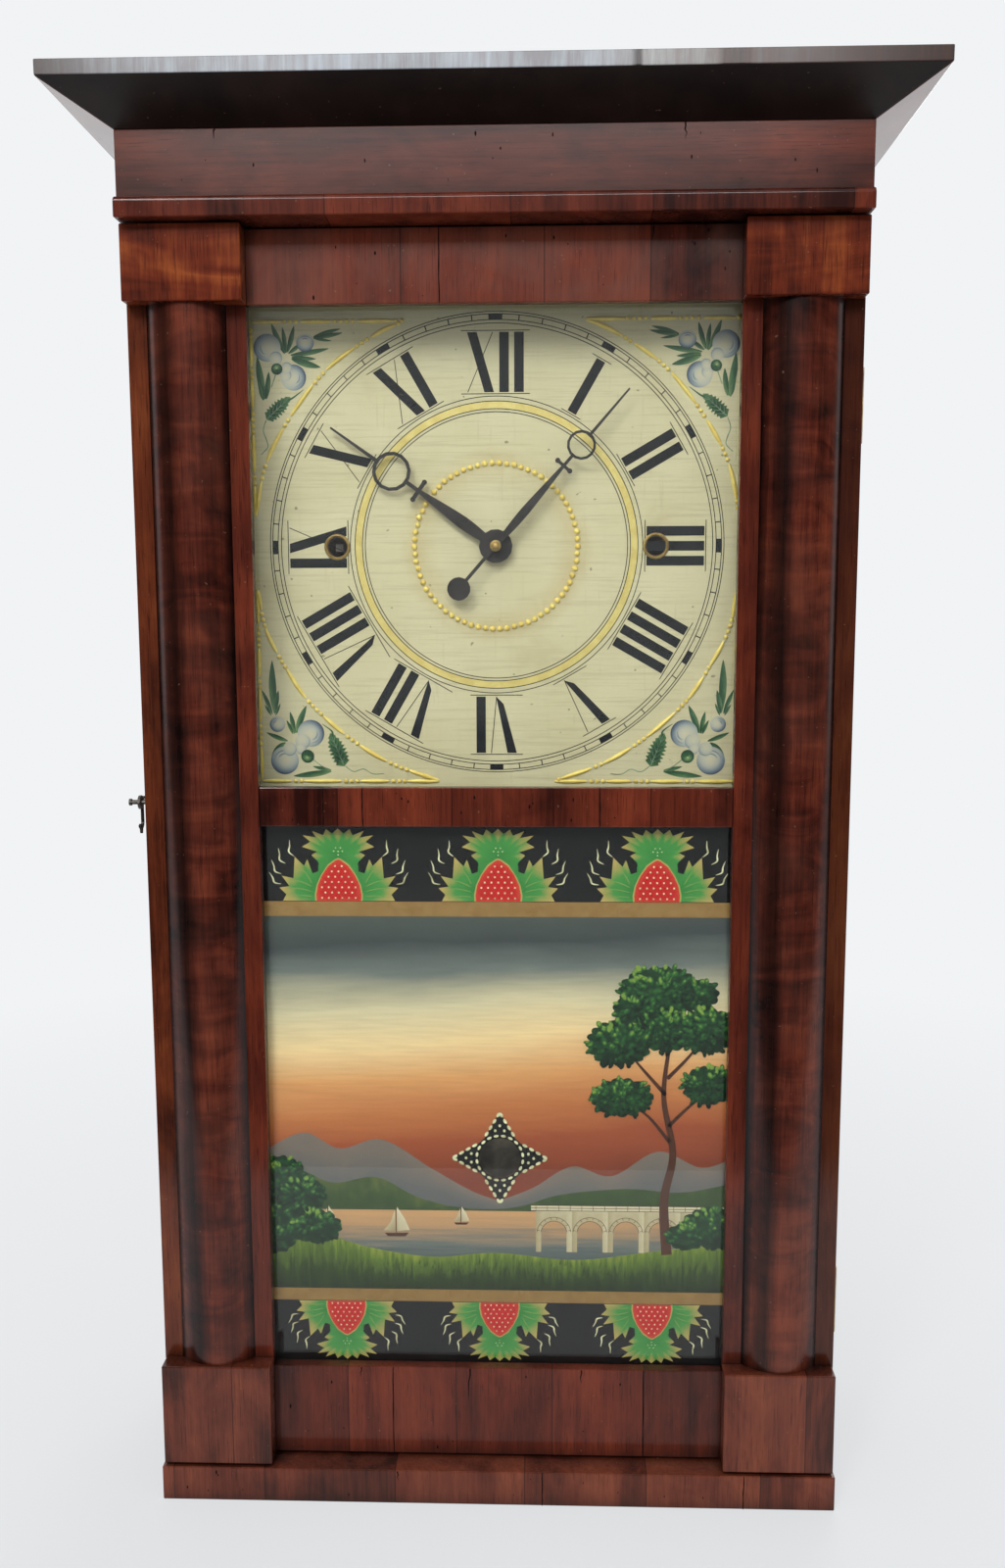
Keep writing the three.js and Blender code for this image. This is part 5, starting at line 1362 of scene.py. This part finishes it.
def hill(paint, crest, foot, top_tone, foot_tone):
    """Land below a crest line, down to a level."""
    line = curve(crest)
    paint.strip([(x, foot) for x, _ in line], line, foot_tone, top_tone)


def clump(paint, centre, wide, tall, seed, lift, light):
    """A round mass of leaves with a scalloped edge."""
    chance = random.Random(seed)
    count = max(int((wide + tall) * 0.55), 9)
    outline = []
    for index in range(count):
        for part in range(5):
            angle = math.radians(-360 * (index + part / 5) / count)
            swell = 1 + 0.13 * math.sin(math.pi * part / 5) + chance.uniform(-0.02, 0.02)
            x = centre[0] + wide * swell * math.sin(angle)
            outline.append((x, centre[1] + tall * swell * math.cos(angle)))
    lit = (centre[0] - wide * 0.3, centre[1] + tall * 0.4)
    paint.fan(lit, outline, light, 0.22, lift)


def dabs(paint, centre, wide, tall, seed, lift):
    """Touches of a full brush over a mass of leaves, palest where the light falls."""
    chance = random.Random(seed)
    for number in range(int(wide * tall * 0.3)):
        angle = chance.uniform(0, 2 * math.pi)
        reach = math.sqrt(chance.random()) * 1.04
        x = centre[0] + wide * reach * math.sin(angle)
        z = centre[1] + tall * reach * math.cos(angle)
        lit = 0.5 * reach * (math.cos(angle) * 0.8 - math.sin(angle) * 0.3)
        turn = math.degrees(angle) + chance.uniform(-30, 30)
        touch = ellipse((x, z), chance.uniform(1.6, 2.9), chance.uniform(1.1, 1.8), turn, 9)
        if abs(x) > TABLET_X - 3:
            continue
        tone = 0.45 + lit + chance.uniform(-0.14, 0.14)
        head = (x + 0.5 * math.sin(angle), z + 0.7)
        paint.fan(head, touch, tone + 0.2, tone - 0.26, lift + PAINT_STEP * number / 400)


def leaf_masses(paint, masses, first_seeds, light, swell):
    """Dabbed masses of leaves, each given by its centre, half width and half height."""
    for number, (x, z, wide, tall) in enumerate(masses):
        layer = number % 4
        seed, dab_seed = (first + number for first in first_seeds)
        clump(paint, (x, z), wide, tall, seed, PAINT_STEP * (1 + layer) * 0.5, light)
        lift = PAINT_STEP * (2.2 + layer * 0.5)
        dabs(paint, (x, z), wide * swell[0], tall * swell[1], dab_seed, lift)


def build_bridge(paint, joints):
    """A long stone bridge of round arches, pale with brown joints."""
    x0, x1, deck, foot = 24.0, TABLET_X, 181.0, 151.0
    span, pier = 22.0, 6.4
    radius = (span - pier) / 2
    spring = 163.0
    top = deck - 3.4
    start = x0
    while start < x1 - 2:
        middle = (start + span / 2, spring)
        end = start + span
        paint.shape(rectangle(start, start + pier / 2, foot, top), [0.35, 0.5, 0.6, 0.45])
        paint.shape(rectangle(end - pier / 2, end, foot, top), [0.6, 0.75, 0.8, 0.7])
        under = arc(middle, radius, 90, -90, 16)
        paint.strip(under, [(x, top) for x, _ in under], 0.5, 0.66)
        for outer in (radius + 0.15, radius + 2.6):
            joints.line(arc(middle, outer, 84, -84, 16), 0.35)
        for point in arc(middle, radius + 1.1, 90, -90, 16)[1:-1:2]:
            out = (Vector(point) - Vector(middle)).normalized()
            joints.line([point, tuple(Vector(point) + out * 1.5)], 0.3)
        start = end
    paint.shape(rectangle(x0 - 3, x1, top, deck), [0.8, 0.9, 0.95, 0.9], PAINT_STEP * 0.3)
    for level in (top, deck, deck - 1.7):
        joints.line([(x0 - 3, level), (x1, level)], 0.4)
    for x in range(int(x0), int(x1), 7):
        joints.line([(x, top), (x, deck)], 0.3)


def build_boat(sails, hulls, x, z, size):
    """A small boat with two pale sails."""
    place = Placing((x, z), 1, 1, size)
    hulls.shape(place.way([(-7, 2.2), (-5, 0), (5.5, 0), (8, 2.4)]), [0.6, 0.2, 0.2, 0.6])
    hulls.line(place.way([(0, 2), (0, 20)]), 0.45, 0.3)
    main = [(0.6, 3.4), (8.4, 4.2), (5.2, 12.0), (0.6, 19.0)]
    jib = [(-0.6, 17.0), (-3.4, 9.0), (-7.6, 3.8), (-0.6, 3.6)]
    sails.shape(place.way(main), [0.5, 0.8, 0.9, 1.0])
    sails.shape(place.way(jib), [0.9, 0.6, 0.5, 0.3])


def build_tree(leaves, bark):
    """A tall tree on the right with its leaves in separate masses."""
    trunk = curve([(104, 150), (102, 185), (107, 215), (101, 250), (104, 282)], 6)
    bark.line(trunk, taper(6.5, 4.5, len(trunk)), 0.45)
    for way in (
        ((105, 222), (92, 238), (80, 246)),
        ((104, 232), (118, 246), (128, 252)),
        ((102, 252), (88, 268), (78, 280)),
        ((103, 262), (116, 276), (124, 288)),
        ((103, 276), (100, 296), (96, 312)),
    ):
        path = curve(way, 5)
        bark.line(path, taper(2.6, 1.9, len(path)), 0.4)
    masses = (
        (76, 250, 17, 11), (128, 258, 15, 11), (74, 284, 18, 13), (126, 292, 16, 13),
        (98, 316, 22, 14), (102, 292, 17, 12), (84, 304, 13, 9), (120, 314, 12, 9),
    )
    leaf_masses(leaves, masses, (0, 50), 0.4, (1.08, 1.1))


def grass_blades(bank):
    """Blades of grass on the near bank, paler towards the back."""
    chance = random.Random(11)
    for _ in range(420):
        x = chance.uniform(-TABLET_X + 2, TABLET_X - 2)
        z = chance.uniform(127.5, 143.0)
        tall = chance.uniform(2.0, 6.5)
        tip = (x + chance.uniform(-1.4, 1.4), z + tall)
        tone = min(0.05 + (z - 127) * 0.035 + chance.uniform(0, 0.25), 1.0)
        foot = tone * 0.6
        bank.shape([(x - 0.5, z), (x + 0.5, z), tip], [foot, foot, tone], PAINT_STEP * 0.5)


def build_picture(depth):
    """A lake at dusk: hills, a stone bridge, boats and trees."""
    edge = TABLET_X
    sky, far, near, water = Paint(), Paint(), Paint(), Paint()
    holed_rectangle(sky, -edge, edge, STRIPE_LOW[1] - 1, STRIPE_HIGH[0] + 1)
    for paint, foot, top_tone, foot_tone, crest in (
        (far, LAKE_SHORE, 0.75, 0.3,
         [(-edge, 214), (-118, 226), (-96, 216), (-70, 222), (-40, 204), (-16, 190), (0, 184)]),
        (far, LAKE_SHORE, 0.75, 0.3,
         [(0, 183), (22, 192), (46, 206), (70, 200), (98, 216), (124, 206), (edge, 212)]),
        (near, 170, 0.6, 0.25,
         [(-edge, 196), (-122, 202), (-100, 194), (-74, 198), (-50, 186), (-30, 180)]),
        (near, 170, 0.5, 0.2,
         [(-30, 180), (-8, 178), (14, 180), (40, 188), (80, 192), (112, 190), (edge, 196)]),
    ):
        hill(paint, crest, foot, top_tone, foot_tone)
    water.strip([(-edge, 140), (edge, 140)], [(-edge, 177), (edge, 177)], 0.0, 1.0)
    stone, joints, sails, hulls = Paint(), Paint(), Paint(), Paint()
    build_bridge(stone, joints)
    for x, z, size in ((-62, 160, 1.0), (-22, 168, 0.62), (-104, 166, 0.7)):
        build_boat(sails, hulls, x, z, size)
    bank = Paint()
    crest = [(-edge, 158), (-112, 162), (-80, 153), (-40, 147), (0, 150), (48, 146), (96, 152)]
    hill(bank, [*crest, (edge, 158)], 125.7, 0.85, 0.1)
    grass_blades(bank)
    leaves, bark = Paint(), Paint()
    build_tree(leaves, bark)
    bushes = (
        (-132, 172, 20, 15), (-112, 166, 15, 10), (-134, 196, 17, 14), (-120, 186, 14, 11),
        (132, 168, 18, 12), (116, 162, 12, 8), (-138, 158, 14, 9),
    )
    bushes = [(x, z, min(wide, edge - abs(x) + 8), tall) for x, z, wide, tall in bushes]
    leaf_masses(leaves, bushes, (20, 80), 0.35, (1, 1.06))

    hills = ((0.0, (72, 84, 92)), (0.5, (104, 104, 104)), (1.0, (150, 128, 110)))
    meadow = ((0.0, (30, 52, 30)), (0.5, (62, 84, 44)), (1.0, (130, 132, 64)))
    lake = (
        (0.0, (58, 76, 84)), (0.4, (110, 116, 112)),
        (0.75, (190, 150, 110)), (1.0, (208, 160, 112)),
    )
    pale = ((0.0, (120, 104, 76)), (0.5, (186, 172, 136)), (1.0, (228, 218, 188)))
    brown = ((0.0, (36, 22, 16)), (0.5, (84, 48, 32)), (1.0, (140, 92, 60)))
    grass = ((0.0, (22, 36, 20)), (0.4, (50, 70, 28)), (0.75, (98, 122, 44)), (1.0, (150, 160, 64)))
    green = (
        (0.0, (14, 34, 20)), (0.35, (26, 66, 36)), (0.62, (52, 108, 48)), (0.88, (132, 160, 70)),
    )
    pale_stone = toned_paint("pale_stone", pale, 260)
    wood = toned_paint("bark", brown, (160, 160, 30))
    for paint, name, look, layer in (
        (sky, "sky", sky_paint("dusk_sky"), 0),
        (far, "far_hills", toned_paint("far_hills", hills), 1),
        (near, "near_hills", toned_paint("near_hills", meadow, (220, 220, 160), 0.3), 2),
        (water, "water", toned_paint("lake", lake, (18, 18, 520), 0.3), 3),
        (stone, "bridge", pale_stone, 4),
        (joints, "bridge_joints", wood, 5),
        (sails, "sails", pale_stone, 4),
        (hulls, "hulls", wood, 5),
        (bank, "bank", toned_paint("grass", grass, (420, 420, 60), 0.42), 6),
        (bark, "bark", wood, 7),
        (leaves, "foliage", foliage("tree_leaves", green, 3.0), 8),
    ):
        paint.make("tablet_" + name, look, depth - PAINT_STEP * layer)


def build_tablet():
    """The paint on the back of the lower glass, from the star in front to the backing."""
    _, high = box_mm("tablet_glass")
    front = high.y + PAINT_STEP
    black = flat_paint("band_black", (14, 14, 16), 0.5, 0.1, (70, 64, 54))
    cream = flat_paint("cream_touches", (240, 230, 172))
    build_star(black, cream, front + PAINT_STEP)
    build_picture(front + PAINT_STEP * 11)
    build_bands(black, cream, front + PAINT_STEP * 6)
    backing = Paint()
    holed_rectangle(backing, -TABLET_X, TABLET_X, TABLET_FOOT, TABLET_HEAD)
    look = flat_paint("backing_paint", (70, 62, 52), 0.6)
    backing.make("tablet_backing", look, front + PAINT_STEP * 12)


# ---------------------------------------------------------------------------------------------
# Metal, glass, movement and weights
# ---------------------------------------------------------------------------------------------


def lathe(name, body, material, centre, profile, stands_for=()):
    """A metal shape turned about an axis along y, from (radius, y) points."""
    steps = 56
    points, faces = [], []
    for radius, y in profile:
        for step in range(steps):
            x, z = polar(centre, radius, 360 * step / steps)
            points.append((x, y, z))
    band(faces, len(profile) - 1, steps, closed=True, flip=True)
    made = mesh_piece(name, body, "brass", material, points, faces, True, stands_for)
    joined = bmesh.new()
    joined.from_mesh(made.data)
    bmesh.ops.remove_doubles(joined, verts=joined.verts, dist=1e-6)
    bmesh.ops.recalc_face_normals(joined, faces=joined.faces)
    joined.to_mesh(made.data)
    joined.free()
    made.data.set_sharp_from_angle(angle=math.radians(40))


def twisted_cord(node, way, material, body=None):
    """Three strands laid round a line of points, which stand for a cord's CAD solid."""
    strand, wind, pitch, sides, step = 0.46, 0.43, 5.5, 6, 0.75
    line = [Vector(point) for point in way]
    lengths = [0.0]
    for before, after in zip(line, line[1:]):
        lengths.append(lengths[-1] + (after - before).length)
    count = int(lengths[-1] / step)
    strands = ([], [], [])
    segment = 0
    for number in range(count + 1):
        here = lengths[-1] * number / count
        while segment < len(line) - 2 and lengths[segment + 1] < here:
            segment += 1
        share = (here - lengths[segment]) / (lengths[segment + 1] - lengths[segment])
        centre = line[segment].lerp(line[segment + 1], share)
        run = (line[segment + 1] - line[segment]).normalized()
        across = run.cross(Vector((0, 1, 0))).normalized()
        other = run.cross(across)
        for turn, points in enumerate(strands):
            angle = 2 * math.pi * (here / pitch + turn / 3)
            middle = centre + (across * math.cos(angle) + other * math.sin(angle)) * wind
            for side in turns(sides):
                out = across * math.cos(side) + other * math.sin(side)
                points.append(tuple(middle + out * strand))
    faces = []
    for turn in range(3):
        first = turn * (count + 1) * sides
        last = first + count * sides
        band(faces, count, sides, first, closed=True)
        faces += [tuple(range(first, first + sides))[::-1], tuple(range(last, last + sides))]
    points = sum(strands, [])
    return mesh_piece(node + ".look", body, "cord", material, points, faces, True, (node,))


def build_cords(material):
    """Each weight's cord: from the drum up to its pulley and over it, then down to the weight."""
    pulley_x, pulley_z, reach, wrap, steps = 163.7, 795.5, 11.3, 170.5, 16
    drop_x, drop_y, drop_top, drop_foot = 175.0, 40.25, 795.2, 616.3
    for side, train in ((-1, "time"), (1, "strike")):
        way = [(115.4 * side, 59.2, 575.8), (152.56 * side, drop_y, 797.37)]
        for step in range(1, steps + 1):
            angle = math.radians(wrap * (1 - step / steps))
            x = pulley_x + reach * math.cos(angle)
            way.append((x * side, drop_y, pulley_z + reach * math.sin(angle)))
        twisted_cord(train + "_cord_run", way, material, "case")
        ends = [(drop_x * side, drop_y, z) for z in (drop_top, drop_foot)]
        made = twisted_cord(train + "_cord_drop", ends, material)
        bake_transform(made)


def build_metal():
    """The fittings, hands, weights and hammer, and the turned shapes of bob and bell."""
    brass = metal("aged_brass", (212, 182, 112), (150, 120, 64), 0.36, 1.0, plain=0.4)
    iron = metal("black_iron", (46, 40, 40), (26, 22, 22), 0.5, 2.0, plain=0.6, relief=0.25)
    steel = metal("dull_steel", (120, 116, 112), (74, 66, 60), 0.42, 3.0)
    rough = {"grain": 160, "plain": 0.7, "relief": 0.6}
    casting = metal("cast_iron", (74, 70, 70), (48, 42, 40), 0.75, 4.0, **rough)
    bob = metal("bob_brass", (150, 138, 118), (98, 88, 76), 0.5, 5.0, grain=50, plain=0.35)
    repaint(brass, "winding_grommet_left", "winding_grommet_right")
    for level in ("lower", "upper"):
        repaint(brass, f"hinge_{level}_case_leaf", f"hinge_{level}_door_leaf")
    repaint(iron, "hour_hand", "minute_hand")
    repaint(steel, "latch_hook", "latch_stud", "pendulum_rod")
    middle = 6.0
    front = [(0, 6.5), (6, 6.42), (12.6, 5.98), (18, 5.1), (22.4, 3.9), (26, 2.3), (28, 1.0)]
    shape = [(radius, middle - half) for radius, half in front]
    shape += [(radius, middle + half) for radius, half in front[::-1]]
    lathe("pendulum_bob.look", "pendulum", bob, (0.0, 197.0), shape, ("pendulum_bob",))
    bell = (
        (0, 49), (8, 49.15), (17.1, 49.6), (24, 51), (29.6, 53), (33.4, 55.8), (36.1, 59),
        (37.4, 63), (38, 67), (35.4, 67), (34.6, 63), (33.3, 60), (30, 57), (26.9, 55),
        (21, 53.2), (15.6, 52.4), (3.5, 52), (3.5, 78), (0, 78),
    )
    lathe("bell.look", "case", brass, (52.0, 467.8), bell, ("bell",))
    for name in ("time_weight", "strike_weight"):
        softened(name, casting, 1.2)
    softened("strike_hammer", steel, 0.3)
    build_ends(steel, brass)


def build_ends(steel, brass):
    """The ends of the two winding squares, and the turned pin that holds the hands."""
    half, front, back, ease = 2.7, 3.6, 8.6, 0.5
    for side, body in ((-1, "time_drum"), (1, "strike_drum")):
        points, faces = [], [(0, 1, 2, 3)]
        for reach, y in ((half - ease, front), (half, front + ease), (half, back)):
            points += [(94.5 * side + x * reach, y, DIAL_Z + z * reach) for x, z in SQUARE]
        band(faces, 2, 4, closed=True, flip=True)
        mesh_piece(f"winding_square_{body}", body, "steel", steel, points, faces)
    pin = (
        (0, -18.2), (1.2, -18.0), (2.0, -17.4), (2.3, -16.7),
        (1.6, -16.2), (3.1, -15.6), (3.3, -14.9), (3.1, -14.5),
    )
    lathe("hand_pin", "centre", brass, CENTRE, pin)


def build_movement():
    """The wooden movement, the brass escape wheel, the glass and the cords."""
    plate = bare_wood("movement_plate_wood", "x", CHERRY, 7.0)
    wheel = bare_wood("wheel_wood", "x", CHERRY, 8.0, 60)
    turned = bare_wood("turned_wood", "y", CHERRY, 9.0, 90)
    escape = metal("escape_brass", (200, 172, 110), (130, 104, 58), 0.32, 6.0)
    repaint(plate, "movement_front_plate", "movement_back_plate")
    repaint(wheel, "time_great_wheel", "second_wheel", "third_wheel", "minute_wheel", "hour_wheel")
    repaint(wheel, "centre_arbor", "strike_drum", "time_drum")
    repaint(escape, "escape_wheel", "verge")
    repaint(turned, "time_pulley", "strike_pulley")
    repaint(clear_glass("old_glass"), "dial_glass", "tablet_glass")
    build_cords(cord_fibre("linen_cord"))


# ---------------------------------------------------------------------------------------------
# Stage
# ---------------------------------------------------------------------------------------------


def stage_mesh(name, points, faces, material):
    """A shape of the surroundings, in metres."""
    mesh = bpy.data.meshes.new(name)
    mesh.from_pydata(points, [], faces)
    mesh.materials.append(material)
    made = add_object(name, mesh)
    return made


def build_floor():
    """A pale floor. Where the camera sees it far from the clock, it has the background's colour."""
    look = Look("floor", Roughness=0.7, Specular_IOR_Level=0.2)
    mottle = look.noise(3)
    look.set(Base_Color=look.ramp(mottle, (0.3, (238, 239, 242)), (0.7, (241, 242, 244))))
    away = look.add("VectorMath", {"operation": "LENGTH"}, Vector=look.coords).outputs["Value"]
    seen = look.add("LightPath").outputs["Is Camera Ray"]
    share = look.times(seen, look.level(away, 0.25, 1.2, 0.66, 1.0))
    glow = look.add("Emission", Color=BACKGROUND, Strength=1.0)
    look.mix_shaders(share, look.surface, glow, look.nodes["Material Output"])
    reach = 6.0
    corners = [(x * reach, y * reach, 0) for x, y in SQUARE]
    stage_mesh("floor", corners, [(0, 1, 2, 3)], look.material)


def build_dark_cloth():
    """A dark cloth round the front of the studio, seen only in the gloss of varnish and glass.

    It hangs behind the camera, and lies on the floor up to half a metre in front of the clock.
    """
    look = Look("dark_cloth", Roughness=0.9, Specular_IOR_Level=0.0)
    folds = look.noise((2, 2, 0.4), 2.0)
    look.set(Base_Color=look.ramp(folds, (0.3, (16, 15, 15)), (0.7, (28, 26, 26))))
    radius, height, reach, steps, front, foot = 3.4, 4.6, 88, 24, -0.5, 0.002
    points, faces = [], []
    for step in range(steps + 1):
        angle = math.radians(-reach + 2 * reach * step / steps)
        x, y = radius * math.sin(angle), -radius * math.cos(angle)
        points += [(x, max(y, front), foot), (x, y, foot), (x, y, height)]
    for a in range(0, 3 * steps, 3):
        faces += [(a, a + 3, a + 4, a + 1), (a + 1, a + 4, a + 5, a + 2)]
    cloth = stage_mesh("dark_cloth", points, faces, look.material)
    cloth.visible_camera = False
    cloth.visible_diffuse = False
    cloth.visible_shadow = False
    cloth.visible_transmission = False


def build_world():
    """White surroundings, which shine less than they look."""
    world = bpy.data.worlds.new("studio")
    bpy.context.scene.world = world
    world.use_nodes = True
    world.node_tree.nodes.clear()
    tree = Nodes(world.node_tree)
    light = tree.add("Background", Color=(0.95, 0.98, 1.0, 1.0), Strength=0.46)
    seen = tree.add("Background", Color=BACKGROUND, Strength=1.0)
    path = tree.add("LightPath").outputs
    looked_at = path["Is Camera Ray"]
    for name in ("Is Glossy Ray", "Is Transmission Ray"):
        looked_at = tree.math("MAXIMUM", looked_at, path[name])
    tree.mix_shaders(looked_at, light, seen, tree.nodes.new("ShaderNodeOutputWorld"))


def add_lamp(name, place, aim_z, size, power, colour=(1, 1, 1)):
    """A softbox turned to a height above the origin; size is its width and height."""
    data = bpy.data.lights.new(name, "AREA")
    data.shape = "RECTANGLE"
    data.size, data.size_y = size
    data.energy = power
    data.color = colour
    lamp = add_object(name, data)
    lamp.location = place
    lamp.rotation_mode = "QUATERNION"
    lamp.rotation_quaternion = (Vector((0, 0, aim_z)) - Vector(place)).to_track_quat("-Z", "Y")


def build_lights():
    add_lamp("key", (-0.75, -1.75, 1.9), 0.45, (0.4, 0.4), 10.0, (1.0, 0.98, 0.95))
    add_lamp("window", (-0.1, -2.2, 1.78), 0.45, (1.5, 0.36), 12.0)
    add_lamp("back", (0.6, 1.8, 1.8), 0.5, (1.2, 1.2), 12.0)


def add_camera():
    """The camera that matches the clock's picture."""
    data = bpy.data.cameras.new("camera")
    data.sensor_fit = "AUTO"
    data.sensor_width = SENSOR
    data.lens = FOCAL_PIXELS / IMAGE_HEIGHT * SENSOR
    data.clip_start = 0.01
    data.clip_end = 50.0
    camera = add_object("camera", data)
    yaw, pitch = math.radians(CAMERA_YAW), math.radians(CAMERA_PITCH)
    level = math.cos(pitch)
    ahead = Vector((math.sin(yaw) * level, math.cos(yaw) * level, math.sin(pitch)))
    camera.location = Vector(CAMERA_AT) * MM
    camera.rotation_mode = "QUATERNION"
    roll = Quaternion((0, 0, 1), math.radians(CAMERA_ROLL))
    camera.rotation_quaternion = ahead.to_track_quat("-Z", "Y") @ roll
    bpy.context.scene.camera = camera


bpy.context.scene.view_settings.view_transform = "Standard"
add_camera()
build_case()
build_door()
build_wear()
build_dial()
build_tablet()
build_metal()
build_movement()
build_floor()
build_dark_cloth()
build_world()
build_lights()
